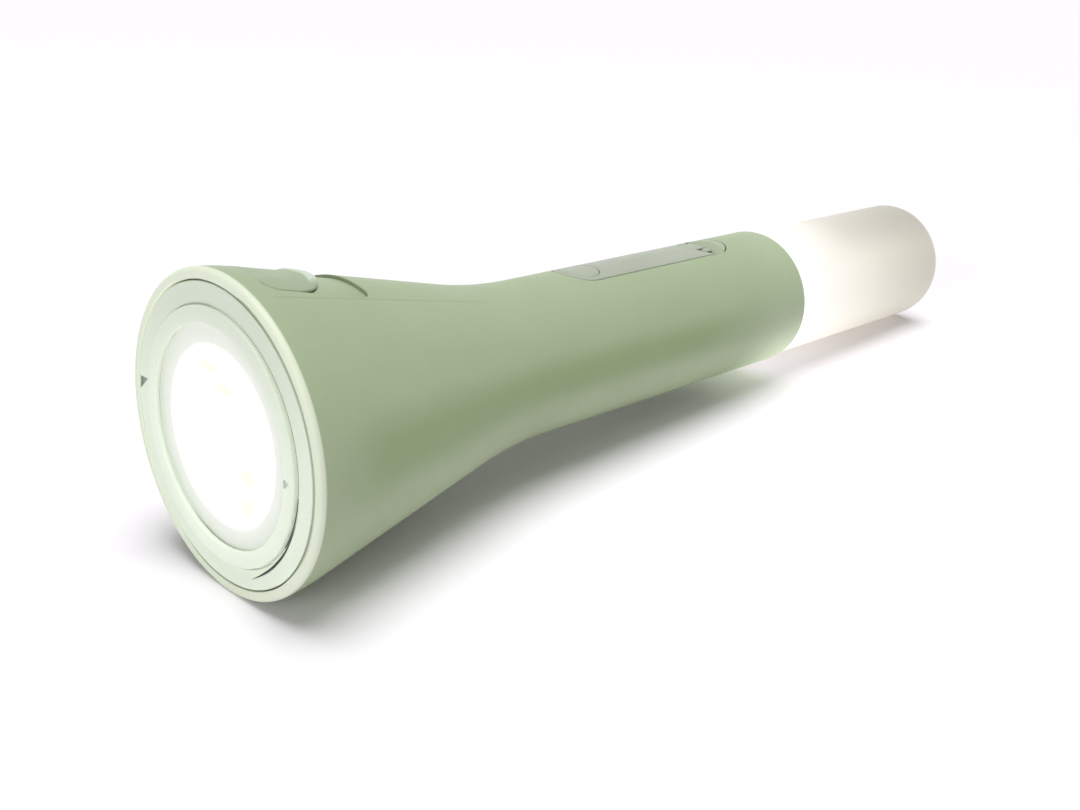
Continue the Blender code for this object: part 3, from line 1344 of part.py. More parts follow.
def make_gearbox():
    front, back = plate_span()
    half = top_plate_half()
    tenon = POST_RADIUS / 2
    post_holes = [circle(place, tenon + GAP, SMALL_SIDES) for place in gearbox_posts()]
    bush_hole = circle((HUB_AT, 0.0), SHAFT_RADIUS + BUSH_WALL + 2 * GAP, INNER_SIDES)
    outline = rounded_box((front, -half), (back, half), POST_RADIUS)
    bm = bmesh.new()
    prism(bm, [outline, bush_hole, *post_holes], TOP_PLATE_BOTTOM, TOP_PLATE_TOP)
    finish("gearbox_top_plate", bm, "aluminium")

    start = control_span()[0]
    half = math.sqrt(HANDLE_BORE**2 - max(BASE_PLATE_TOP**2, BASE_PLATE_BOTTOM**2)) - GAP
    outline = rounded_box((start, -half), (back, half), POST_RADIUS)
    shaft_hole = circle((HUB_AT, 0.0), SHAFT_TIP_RADIUS + GAP, SMALL_SIDES)
    rotor_hole = circle((ROTOR_AT, 0.0), ROTOR_SHAFT_RADIUS + GAP, SMALL_SIDES)
    bm = bmesh.new()
    prism(bm, [outline, shaft_hole, rotor_hole], BASE_PLATE_BOTTOM, BASE_PLATE_TOP)
    base = finish("gearbox_base", bm, "aluminium")
    bm = bmesh.new()
    sunk = BASE_PLATE / 2
    for x, y in gearbox_posts():
        shoulder = TOP_PLATE_BOTTOM - GAP
        outline = [(BASE_PLATE_TOP - sunk, 0.0), (BASE_PLATE_TOP - sunk, POST_RADIUS)]
        outline += [(shoulder, POST_RADIUS), (shoulder, tenon)]
        outline += [(TOP_PLATE_TOP, tenon), (TOP_PLATE_TOP, 0.0)]
        turned(bm, outline, SMALL_SIDES, "Z", (x, y, 0.0))
    for x, y in board_places():
        rod(bm, PILLAR_BOTTOM, BASE_PLATE_BOTTOM + sunk, POST_RADIUS, SMALL_SIDES, "Z", (x, y, 0.0))
    shape_with(base, tool("gearbox_legs", bm), "UNION")
    bm = bmesh.new()
    for x, y in board_places()[:4]:
        top = PILLAR_BOTTOM + SCREW_LENGTH
        rod(bm, PILLAR_BOTTOM - GAP, top, SCREW_RADIUS + GAP, SMALL_SIDES, "Z", (x, y, 0.0))
    shape_with(base, tool("pillar_bores", bm))
    return base


def make_control_board():
    front, back = control_span()
    half = control_half()
    holes = [circle(place, SCREW_RADIUS + GAP, SMALL_SIDES) for place in board_places()[:4]]
    outline = rounded_box((front, -half), (back, half), POST_RADIUS)
    bm = bmesh.new()
    prism(bm, [outline, *holes], CONTROL_BOTTOM, CONTROL_TOP)
    board = finish("control_board", bm, "circuit_board")
    bm = bmesh.new()
    chip_start = ROTOR_AT + STATOR_RADIUS + 2 * POST_RADIUS + PILLAR_INSET
    chip_end = back - 2 * PILLAR_INSET
    pitch = (chip_end - chip_start) / CHIP_COUNT
    for i in range(CHIP_COUNT):
        low = (chip_start + i * pitch, -half / 3, CONTROL_TOP - CONTROL_THICKNESS / 2)
        high_end = chip_start + (i + CHIP_SHARE) * pitch
        block(bm, low, (high_end, half / 3, CONTROL_TOP + CHIP_HEIGHT))
    shape_with(board, tool("board_parts", bm), "UNION")
    for number, (x, y) in enumerate(board_places()[:4]):
        head = CONTROL_BOTTOM - GAP - SCREW_HEAD_HEIGHT
        screw("board_screw_%d" % (number + 1), head, 1, x, y, "Z")
    return board


# Tail


def make_bulkhead():
    radius = HANDLE_BORE - GAP
    boss = BULKHEAD_BACK + BULKHEAD_BOSS
    outline = [(BULKHEAD_FRONT, 0.0), (BULKHEAD_FRONT, radius), (BULKHEAD_BACK, radius)]
    outline += [(BULKHEAD_BACK, BULKHEAD_BOSS_RADIUS), (boss, BULKHEAD_BOSS_RADIUS), (boss, 0.0)]
    bm = bmesh.new()
    turned(bm, outline, INNER_SIDES)
    bulkhead = finish("tail_bulkhead", bm, "dark_plastic")
    bm = bmesh.new()
    for y, z in tail_screw_places():
        hole = SCREW_RADIUS + GAP
        rod(bm, LEDGE_FRONT, TAIL_BOARD_FRONT, hole, SMALL_SIDES, "X", (0.0, y, z))
    hole = WIRE_RADIUS + GAP
    rod(bm, LEDGE_FRONT, TAIL_BOARD_FRONT, hole, SMALL_SIDES, "X", (0.0, *TAIL_WIRE_HOLE))
    shape_with(bulkhead, tool("bulkhead_holes", bm))
    for number, (y, z) in enumerate(tail_screw_places()):
        screw("tail_screw_%d" % (number + 1), BULKHEAD_BACK + GAP + SCREW_HEAD_HEIGHT, -1, y, z)
    return bulkhead


def make_tail_board():
    back = TAIL_BOARD_FRONT + TAIL_BOARD_THICKNESS
    bm = bmesh.new()
    rod(bm, TAIL_BOARD_FRONT, back, TAIL_BOARD_RADIUS, INNER_SIDES)
    board = finish("tail_led_board", bm, "circuit_board")
    bm = bmesh.new()
    half = LED_SIZE / 2
    for y, z in [(0.0, 0.0), *on_circle(TAIL_LED_COUNT, TAIL_LED_SHARE * TAIL_BOARD_RADIUS)]:
        low = (back - TAIL_BOARD_THICKNESS / 2, y - half, z - half)
        block(bm, low, (back + LED_HEIGHT, y + half, z + half))
    shape_with(board, tool("tail_leds", bm), "UNION")
    return board


def make_diffuser():
    neck_bore = DIFFUSER_NECK - DIFFUSER_WALL
    edge = arc((REST_AT, DIFFUSER_RADIUS - DIFFUSER_EDGE), DIFFUSER_EDGE, math.pi / 2, 0.0, 4)
    inner_edge = DIFFUSER_EDGE - DIFFUSER_WALL
    inside = arc((REST_AT, DIFFUSER_BORE - inner_edge), inner_edge, 0.0, math.pi / 2, 2)
    outline = [(NECK_END, neck_bore), (NECK_END, DIFFUSER_NECK)]
    outline.append((DIFFUSER_START, DIFFUSER_NECK))
    outline += [(DIFFUSER_START, DIFFUSER_RADIUS - HANDLE_EDGE)]
    outline += [(DIFFUSER_START + HANDLE_EDGE, DIFFUSER_RADIUS), *edge, (DIFFUSER_END, 0.0)]
    outline += [(DIFFUSER_END - DIFFUSER_WALL, 0.0), *inside]
    outline += [(DIFFUSER_START + DIFFUSER_WALL, DIFFUSER_BORE)]
    outline += [(DIFFUSER_START + DIFFUSER_WALL, neck_bore)]
    bm = bmesh.new()
    turned(bm, outline, SHOWN_SIDES)
    finish("diffuser", bm, "frosted_plastic")
    front = BULKHEAD_BACK + GAP
    back = front + TAIL_SEAL
    outer = DIFFUSER_NECK
    bm = bmesh.new()
    outline = [(front, neck_bore + GAP), (front, outer), (back, outer), (back, neck_bore + GAP)]
    turned(bm, outline, INNER_SIDES)
    return finish("diffuser_seal", bm, "black_rubber")


def main():
    for obj in list(bpy.data.objects):
        bpy.data.objects.remove(obj)
    torch = bpy.data.objects.new("torch", None)
    bpy.context.collection.objects.link(torch)
    make_housing()
    make_bezel_ring()
    make_lens_ring()
    make_front_lens()
    make_lens_seal()
    make_reflector()
    for number, (y, z) in enumerate(head_screw_places()):
        screw("head_screw_%d" % (number + 1), FLANGE_FRONT, 1, y, z)
    make_led_board()
    make_heat_sink()
    make_switch_slider()
    make_switch_body()
    make_battery_cradle()
    make_battery()
    make_contacts()
    make_wires()
    make_crank_tray()
    make_crank_arm()
    make_knob()
    make_crank_hub()
    make_hub_bush()
    make_drive_gear()
    make_idler()
    make_rotor()
    make_stator()
    make_gearbox()
    make_control_board()
    make_bulkhead()
    make_tail_board()
    make_diffuser()

    # The torch lies tilted, centred over the origin, with its lowest facets on the floor
    torch.rotation_euler = (0.0, TILT, 0.0)
    flat = math.cos(math.pi / SHOWN_SIDES)
    drop = HEAD_RADIUS * flat * math.cos(TILT)
    tail = DIFFUSER_END * math.cos(TILT)
    nose = (HEAD_RADIUS - RIM_EDGE) * flat * math.sin(TILT)
    torch.location = (-(tail - nose) / 2, 0.0, drop)


main()
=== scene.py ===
"""Looks of the hand-cranked flashlight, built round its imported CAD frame.

Pieces are drawn in the torch's own frame, in metres: X runs from the rim of the head to the tail,
Z is the top line and -Y is the side towards the camera. torch_place() then lays them on the floor.
"""

import json
from math import asin, atan, cos, hypot, pi, radians, sin, sqrt, tan, tau

import bmesh
import bpy
from mathutils import Matrix, Vector


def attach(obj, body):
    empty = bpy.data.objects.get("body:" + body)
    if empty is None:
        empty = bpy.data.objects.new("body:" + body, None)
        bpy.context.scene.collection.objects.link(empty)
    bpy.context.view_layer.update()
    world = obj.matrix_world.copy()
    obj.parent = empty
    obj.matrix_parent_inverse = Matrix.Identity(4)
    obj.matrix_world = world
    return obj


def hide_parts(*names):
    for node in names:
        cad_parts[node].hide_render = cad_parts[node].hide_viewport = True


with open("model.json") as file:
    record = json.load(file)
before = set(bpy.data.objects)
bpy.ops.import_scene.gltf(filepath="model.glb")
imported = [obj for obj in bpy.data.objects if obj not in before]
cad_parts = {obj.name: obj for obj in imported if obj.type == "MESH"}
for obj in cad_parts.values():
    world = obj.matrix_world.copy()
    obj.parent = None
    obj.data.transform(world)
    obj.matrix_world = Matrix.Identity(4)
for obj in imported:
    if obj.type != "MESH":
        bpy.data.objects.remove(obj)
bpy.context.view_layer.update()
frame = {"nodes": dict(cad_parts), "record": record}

# Sizes of the torch, most of them shared with the CAD source
GAP = 0.0003
HEAD_RADIUS = 0.035
RIM_EDGE = 0.001
RIM_CURVE = 0.008
RIM_PULL_RATIO = 0.45
RIM_STEPS = 12
CONE_SHOULDER = 0.0006
CONE_LENGTH = 0.0715
NECK_BLEND = 0.013
HANDLE_RADIUS = 0.0197
HANDLE_EDGE = 0.0006
HANDLE_BORE = 0.0177
HANDLE_END = 0.1819
HEAD_WALL = 0.0032
WALL_TAPER_START = 0.045
RIM_PLANE = -RIM_EDGE
BEZEL_BORE = 0.0326
BEZEL_SEAT_AT = 0.004
FLANGE_BORE = 0.0308
FLANGE_SEAT_AT = 0.0063
LAMP_BORE = 0.027
LEDGE_FRONT = 0.169
LEDGE_BACK = 0.1715
LEDGE_BORE = 0.0126
TILT = radians(3.5243)

BEZEL_OUTER = 0.0323
BEZEL_INNER = 0.0278
BEZEL_LIP_BACK = 0.002
BEZEL_BACK = 0.0037
BEZEL_EDGE = 0.0003
LENS_RING_OUTER = 0.0275
LENS_RING_INNER = 0.0238
LENS_RING_FRONT = -0.0019
LENS_RING_EDGE = 0.0004
LENS_RING_FLANGE = 0.0286
LENS_RING_FLANGE_THICKNESS = 0.0011
LENS_SEAT_RADIUS = 0.0263
LENS_FRONT = -0.0006
LENS_BACK = 0.0014
LENS_CROWN = 0.0002
LENS_CORE = 0.0189
LENS_MOAT = (0.0003, 0.0006, 0.0009)
LENS_MARGIN = 0.0225
LENS_EDGE = 0.0002
MARK_DEPTH = 0.0004

# Marks on the rings' front planes: shares of the ring's width from its bore, and degrees
# from the top line
BEZEL_ARROW = ((0.89, -81.0), (0.2, -79.8), (0.91, -86.6))
LENS_ARROW = ((0.08, 91.2), (0.6, 92.4), (0.14, 96.2))
CRESCENT = ((0.08, 100.0), (0.11, 118.0), (0.2, 136.0), (0.31, 150.0), (0.45, 161.0))
CRESCENT_WIDTH = 0.0006
CRESCENT_STEPS = 8

# Bright spots of the lamps in the lens, as (across, up, half width, half height)
LAMP_SPOTS = (
    (0.0039, 0.0145, 0.0055, 0.0014),
    (-0.0021, 0.0112, 0.0042, 0.0014),
    (-0.0098, -0.0057, 0.0033, 0.0023),
    (-0.0091, -0.0126, 0.0029, 0.0028),
)

RECESS_START = 0.005
RECESS_LENGTH = 0.025
RECESS_HALF_WIDTH = 0.011
RECESS_CORNER = 0.003
RECESS_DEPTH = 0.0008
SLIDER_LENGTH = 0.0162
SLIDER_LIP = 0.0006
SLIDER_LIP_WIDTH = 0.0022
SLIDER_EDGE = 0.0003
SLIDER_EDGE_STEPS = 5
SLIDER_LOOPS = 26
LIP_END = 0.0052
LIP_RAMP = 0.0024
LIP_REACH = 0.0068
LIP_FADE = 0.0022
LIP_SLOPE = 0.0012
DISH_DEPTH = 0.0002
DISH_SHARE = 0.42
DISH_HALF_LENGTH = 0.0055
DISH_HALF_WIDTH = 0.0062
POST_FRONT = 0.0122
POST_LENGTH = 0.002
POST_WIDTH = 0.003
POST_BOTTOM = 0.023955
SLIDE_TRAVEL = 0.0065

CRANK_START = 0.0973
CRANK_LENGTH = 0.065
CRANK_HALF_WIDTH = 0.007
CRANK_EDGE = 0.00015
KNOB_AT = 0.1043
HUB_AT = 0.1553
HINGE_AT = 0.1523
HUB_RADIUS = 0.0067
ARM_TOP = HANDLE_RADIUS
ARM_BOTTOM = 0.013614
HINGE_DROP = 0.002
HINGE_Z = ARM_TOP - HINGE_DROP
HINGE_PIN_RADIUS = 0.0008
TONGUE_HALF_WIDTH = 0.0028
EAR_WIDTH = 0.0019
EAR_RADIUS = 0.00175
FOLD_LIMIT = radians(145)
SHAFT_RADIUS = 0.0025
SHAFT_TIP_RADIUS = 0.0012
SHAFT_END = 0.0013
SHAFT_TIP_END = -0.0003
KNOB_RADIUS = 0.005
KNOB_TOP = ARM_BOTTOM - GAP
KNOB_BOTTOM = KNOB_TOP - 0.0095
KNOB_PIN_RADIUS = 0.0015
KNOB_CAP_RADIUS = 0.0052
KNOB_CAP_THICKNESS = 0.0014
KNOB_CAP_EDGE = 0.00012
KNOB_EDGE = 0.0009
KNOB_GROOVES = 3
KNOB_GROOVE_REACH = 0.001
KNOB_GROOVE_DEPTH = 0.00035
KNOB_GROOVE_FLOOR = 0.0004
KNOB_GROOVE_WIDTH = 0.0008
KNOB_RIVET_RADIUS = 0.0029
KNOB_RIVET_THICKNESS = 0.0008
KNOB_RIVET_EDGE = 0.0002

DIFFUSER_RADIUS = 0.01895
DIFFUSER_NECK = 0.0174
DIFFUSER_NECK_END = 0.1747
DIFFUSER_START = 0.1822
DIFFUSER_END = 0.2651
DIFFUSER_EDGE = 0.0045
DIFFUSER_WALL = 0.0015
DIFFUSER_TIP_RING = 0.007
BATTERY_MIDDLE = 0.0625

# Where the painted flank shade and the parting line run, as angles from the top line
SHADED_FLANK_AT = radians(88)
PARTING_LINE_AT = radians(23)

# How far light and colour reach past the edges of a seam
SEAM = 0.0001

# Screen colour of the rim's front, also used for the painted light on the bezel's bore
RIM_TONE = (220, 229, 206)

# The lantern tube's glow from its foot to its tip
TUBE_TOP_SHADE = 0.26
TUBE_GLOW = (
    (0.0, (0.95, 0.95, 0.93, 1.0)),
    (0.197, (0.84, 0.81, 0.765, 1.0)),
    (0.322, (0.778, 0.748, 0.666, 1.0)),
    (0.458, (0.69, 0.658, 0.577, 1.0)),
    (0.598, (0.592, 0.563, 0.485, 1.0)),
    (0.751, (0.51, 0.483, 0.41, 1.0)),
    (0.873, (0.457, 0.435, 0.367, 1.0)),
    (1.0, (0.425, 0.405, 0.34, 1.0)),
)

# The torch's origin above the floor, where the CAD puts it
TORCH_ORIGIN = (-0.131256, 0.0, 0.034859)

# Camera: found from the torch's outline in the photograph
CAMERA_PLACE = (-0.24668, -0.20633, 0.13785)
CAMERA_TURN = (radians(67.142), 0.0, radians(-45.053))
CAMERA_LENS = 40.85

# Studio: the floor's colour and lift, and the lamps' strengths and directions
FLOOR_HALF = 20.0
FLOOR_TINT = (0.985, 0.955, 1.0, 1.0)
FLOOR_LIFT = 0.03
STUDIO_LIGHT = 0.15
KEY_STRENGTH = 2.6
KEY_SPREAD = radians(45)
KEY_FROM = (0.05, -0.09, 1.0)
FILL_WATTS = 8.8
FILL_SIZE = 1.0
FILL_FROM = (-1.0, -0.15, 0.2)
FILL_DISTANCE = 1.5

# Facets round the large and the small pieces
FINE_SIDES = 192
SMALL_SIDES = 64

# Points that lie closer together than this after a cut become one
WELD = 0.000002


def torch_place():
    """Where the torch's own frame lies in the part's frame."""
    return Matrix.Translation(TORCH_ORIGIN) @ Matrix.Rotation(TILT, 4, "Y")


# Mesh code


def arc(centre, radius, start, end, steps):
    """Points on a circle from one angle to another, both ends included."""
    turns = [start + (end - start) * i / steps for i in range(steps + 1)]
    return [(centre[0] + radius * cos(a), centre[1] + radius * sin(a)) for a in turns]


def filleted(corners, steps=4):
    """A closed outline of (along, radius, fillet) corners with each fillet drawn as an arc."""
    points = []
    count = len(corners)
    for i, (x, y, fillet) in enumerate(corners):
        here = Vector((x, y))
        if fillet <= 0.0:
            points.append((x, y))
            continue
        before = (Vector(corners[i - 1][:2]) - here).normalized()
        after = (Vector(corners[(i + 1) % count][:2]) - here).normalized()
        half = before.angle(after) / 2
        reach = fillet / tan(half)
        centre = here + (before + after).normalized() * fillet / sin(half)
        start = here + before * reach - centre
        end = here + after * reach - centre
        for k in range(steps + 1):
            points.append(tuple(centre + start.slerp(end, k / steps) * fillet))
    return points


def skinned(bm, rings):
    """Join each ring of points to the next, where a single point counts as a ring too."""
    for first, second in zip(rings, rings[1:]):
        sides = max(len(first), len(second))
        if sides == 1:
            continue
        for i in range(sides):
            corners = [first[i % len(first)], first[(i + 1) % len(first)]]
            corners += [second[(i + 1) % len(second)], second[i % len(second)]]
            bm.faces.new(list(dict.fromkeys(corners)))


def turned(outline, sides, axis="X", centre=(0.0, 0.0, 0.0), bm=None):
    """Turn a closed outline of (along, radius) points about an axis through centre."""
    bm = bmesh.new() if bm is None else bm
    middle = Vector(centre)
    rings = []
    for along, radius in outline:
        spokes = [0.0] if radius < 1e-7 else [tau * i / sides for i in range(sides)]
        ring = []
        for angle in spokes:
            across = radius * sin(angle)
            up = radius * cos(angle)
            if axis == "X":
                point = Vector((along, across, up))
            elif axis == "Y":
                point = Vector((across, along, up))
            else:
                point = Vector((across, up, along))
            ring.append(bm.verts.new(middle + point))
        rings.append(ring)
    skinned(bm, rings + rings[:1])
    return bm


def rod(low, high, radius, sides, axis="X", centre=(0.0, 0.0, 0.0)):
    """A plain round rod, for cutters."""
    return turned([(low, 0.0), (low, radius), (high, radius), (high, 0.0)], sides, axis, centre)


def prism(outline, low, high, axis="Z"):
    """Extrude an outline from low to high along an axis."""
    bm = bmesh.new()
    rings = []
    for level in (low, high):
        ring = []
        for u, v in outline:
            place = {"X": (level, u, v), "Y": (u, level, v), "Z": (u, v, level)}[axis]
            ring.append(bm.verts.new(place))
        rings.append(ring)
        bm.faces.new(ring)
    skinned(bm, rings)
    return bm


def block(low, high):
    """A box between two opposite corners, for cutters."""
    outline = [(low[0], low[1]), (high[0], low[1]), (high[0], high[1]), (low[0], high[1])]
    return prism(outline, low[2], high[2])


def linked(name, data):
    """A new object in the scene."""
    obj = bpy.data.objects.new(name, data)
    bpy.context.collection.objects.link(obj)
    return obj


def made(name, bm):
    """The bmesh as an object in the torch's frame, not yet laid on the floor."""
    bmesh.ops.recalc_face_normals(bm, faces=bm.faces)
    mesh = bpy.data.meshes.new(name)
    bm.to_mesh(mesh)
    bm.free()
    return linked(name, mesh)


def applied(obj):
    """Bake an object's modifiers into its mesh, and weld the points that fall together."""
    bpy.context.view_layer.update()
    depsgraph = bpy.context.evaluated_depsgraph_get()
    mesh = bpy.data.meshes.new_from_object(obj.evaluated_get(depsgraph))
    mesh.name = obj.name
    obj.modifiers.clear()
    obj.data = mesh
    bm = bmesh.new()
    bm.from_mesh(mesh)
    bmesh.ops.remove_doubles(bm, verts=bm.verts, dist=WELD)
    bmesh.ops.dissolve_degenerate(bm, edges=bm.edges, dist=WELD)
    bm.to_mesh(mesh)
    bm.free()
    return obj


def shaped(obj, bm, operation="DIFFERENCE"):
    """Cut, join or intersect an object with the shape in a bmesh."""
    return shaped_by(obj, made("tool", bm), operation)


def shaped_by(obj, tool, operation="DIFFERENCE"):
    modifier = obj.modifiers.new("shape", "BOOLEAN")
    modifier.operation = operation
    modifier.solver = "EXACT"
    modifier.object = tool
    applied(obj)
    bpy.data.objects.remove(tool)
    return obj


def bevelled(obj, width):
    """Round an object's sharp edges before it is cut further."""
    modifier = obj.modifiers.new("edges", "BEVEL")
    modifier.width = width
    modifier.segments = 3
    modifier.limit_method = "ANGLE"
    modifier.angle_limit = radians(40)
    modifier.use_clamp_overlap = True
    return applied(obj)


def placed(obj, body, slot, material, *nodes):
    """Lay a finished piece on the floor with its body, finish and the nodes it stands for."""
    obj.data.shade_smooth()
    obj.data.set_sharp_from_angle(angle=radians(32))
    obj.data.materials.clear()
    obj.data.materials.append(material)
    obj.data.transform(torch_place())
    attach(obj, body)
    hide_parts(*nodes)


# Materials


def node(tree, kind, links=None, **settings):
    """A shader node with its settings, and its inputs set or linked by name or number."""
    new = tree.nodes.new(kind)
    for key, value in settings.items():
        setattr(new, key, value)
    for key, value in (links or {}).items():
        socket = new.inputs[key]
        if isinstance(value, bpy.types.NodeSocket):
            tree.links.new(value, socket)
        else:
            socket.default_value = value
    return new


def maths(tree, operation, first, second=0.0, third=0.0):
    """One step of arithmetic."""
    links = {0: first, 1: second, 2: third}
    return node(tree, "ShaderNodeMath", links, operation=operation).outputs[0]


def product(tree, first, *others):
    """Several shares multiplied."""
    for other in others:
        first = maths(tree, "MULTIPLY", first, other)
    return first


def length(tree, aside, above):
    """The distance that two steps at right angles make."""
    squares = maths(tree, "MULTIPLY_ADD", above, above, product(tree, aside, aside))
    return maths(tree, "SQRT", squares)


def apart(tree, value, other):
    """How far two values lie from each other."""
    return maths(tree, "ABSOLUTE", maths(tree, "SUBTRACT", value, other))


def spread(tree, value, from_low, from_high, to_low=0.0, to_high=1.0, smooth=False):
    """A value mapped from one range onto another, held at its ends."""
    links = {"Value": value, "From Min": from_low, "From Max": from_high}
    links.update({"To Min": to_low, "To Max": to_high})
    kind = "SMOOTHSTEP" if smooth else "LINEAR"
    return node(tree, "ShaderNodeMapRange", links, interpolation_type=kind).outputs[0]


def fade(tree, value, clear, full):
    """A smooth rise from 0 at one value to 1 at another, which may be the smaller one."""
    return spread(tree, value, clear, full, smooth=True)


def band(tree, value, low, high):
    """1 between two values and 0 outside them."""
    above = maths(tree, "GREATER_THAN", value, low)
    return product(tree, above, maths(tree, "LESS_THAN", value, high))


def mixed(tree, share, first, second):
    """A colour between two."""
    links = {0: share, 6: first, 7: second}
    return node(tree, "ShaderNodeMix", links, data_type="RGBA").outputs[2]


def colour(red, green, blue):
    """A linear colour from the 0 to 255 values that a screen shows."""
    values = []
    for value in (red, green, blue):
        share = value / 255
        values.append(share / 12.92 if share <= 0.04045 else ((share + 0.055) / 1.055) ** 2.4)
    return (*values, 1.0)


def shade(tint, factor):
    """A lighter or darker version of a colour."""
    return (*[min(1.0, part * factor) for part in tint[:3]], 1.0)


class Finish:
    """A material under way: its tree, base colour, shader and the torch's coordinates."""

    def __init__(self, name, base, metallic=0.0):
        self.material = bpy.data.materials.new(name)
        self.material.use_nodes = True
        self.tree = self.material.node_tree
        self.shader = self.tree.nodes["Principled BSDF"]
        self.shader.inputs["Metallic"].default_value = metallic
        links = {0: node(self.tree, "ShaderNodeTexCoord").outputs["Object"]}
        links.update({"Location": TORCH_ORIGIN, "Rotation": (0.0, TILT, 0.0)})
        self.coords = node(self.tree, "ShaderNodeMapping", links, vector_type="TEXTURE").outputs[0]
        parts = node(self.tree, "ShaderNodeSeparateXYZ", {0: self.coords})
        self.along, self.across, self.up = parts.outputs
        self.base = base
        self.edges = None

    def link(self, name, value):
        self.tree.links.new(value, self.shader.inputs[name])

    def paint(self, share, tint):
        """Lay a colour over the base colour by a share."""
        self.base = mixed(self.tree, share, self.base, tint)
        self.link("Base Color", self.base)

    def noise(self, scale, detail=3.0, stretch=None):
        """A noise value in the torch's coordinates."""
        coords = self.coords
        if stretch:
            coords = node(self.tree, "ShaderNodeMapping", {0: coords, "Scale": stretch}).outputs[0]
        links = {"Vector": coords, "Scale": scale, "Detail": detail}
        return node(self.tree, "ShaderNodeTexNoise", links).outputs["Fac"]

    def rough(self, pattern, low, high):
        """A roughness that drifts between two values with a pattern."""
        self.link("Roughness", spread(self.tree, pattern, 0.3, 0.7, low, high))

    def radius(self):
        """Distance from the torch's axis."""
        return length(self.tree, self.across, self.up)

    def worn(self, radius=0.0004):
        """How much a place lies on an edge, from 0 to 1."""
        bevel = node(self.tree, "ShaderNodeBevel", {"Radius": radius}, samples=4)
        normal = node(self.tree, "ShaderNodeNewGeometry").outputs["Normal"]
        links = {0: bevel.outputs[0], 1: normal}
        match = node(self.tree, "ShaderNodeVectorMath", links, operation="DOT_PRODUCT").outputs["Value"]
        self.edges = bevel.outputs[0]
        return spread(self.tree, match, 0.99, 0.8)

    def bump(self, height, depth, strength):
        """Add relief, in metres, on top of any relief or rounded edges so far."""
        links = {"Height": height, "Distance": depth, "Strength": strength}
        if self.edges is not None:
            links["Normal"] = self.edges
        self.edges = node(self.tree, "ShaderNodeBump", links).outputs[0]
        self.link("Normal", self.edges)


def plastic(name, tint, roughness, grain=0.00002, mottle=0.05, scuffs=0.25, gap_shade=0.6):
    """Moulded plastic: fine spark-eroded grain, cloudy tone, rubbed edges, painted shade in the gaps."""
    coat = Finish(name, shade(tint, 1.0 - mottle))
    tree = coat.tree
    clouds = coat.noise(45.0)
    flecks = coat.noise(900.0)
    tone = maths(tree, "MULTIPLY_ADD", flecks, 0.3, product(tree, clouds, 0.7))
    coat.paint(spread(tree, tone, 0.35, 0.65), shade(tint, 1.0 + mottle))
    rubbed = coat.worn()
    patches = spread(tree, coat.noise(260.0, 4.0), 0.4, 0.7, 0.1, 0.5)
    coat.paint(product(tree, rubbed, patches), shade(tint, 1.35))
    lines = coat.noise(320.0, 4.0, (0.25, 2.2, 1.4))
    scratch = spread(tree, lines, 0.68, 0.74, 0.0, scuffs)
    coat.paint(scratch, shade(tint, 1.2))
    # Painted shade: darker where nearby surfaces hem a place in, in gaps, grooves and corners
    open_air = node(tree, "ShaderNodeAmbientOcclusion", {"Distance": 0.0009}, samples=4).outputs["AO"]
    coat.paint(spread(tree, open_air, 0.15, 0.6, gap_shade, 0.0), shade(tint, 0.22))
    gloss = coat.noise(130.0)
    rough = spread(tree, gloss, 0.3, 0.7, roughness - 0.05, roughness + 0.06)
    coat.link("Roughness", maths(tree, "MULTIPLY_ADD", scratch, 0.3, rough))
    coat.bump(coat.noise(5200.0, 2.0), grain, 0.6)
    return coat


def metal(name, tint, roughness, stretch=(1.0, 14.0, 14.0)):
    """Machined or drawn metal: fine lines one way, tarnish in clouds and bright edges."""
    coat = Finish(name, shade(tint, 0.82), 1.0)
    tree = coat.tree
    lines = coat.noise(900.0, 3.0, stretch)
    clouds = coat.noise(160.0, 4.0)
    coat.paint(spread(tree, clouds, 0.3, 0.7), tint)
    coat.paint(product(tree, coat.worn(0.0002), 0.5), shade(tint, 1.3))
    coat.rough(lines, roughness - 0.08, roughness + 0.12)
    coat.bump(lines, 0.000008, 0.6)
    return coat


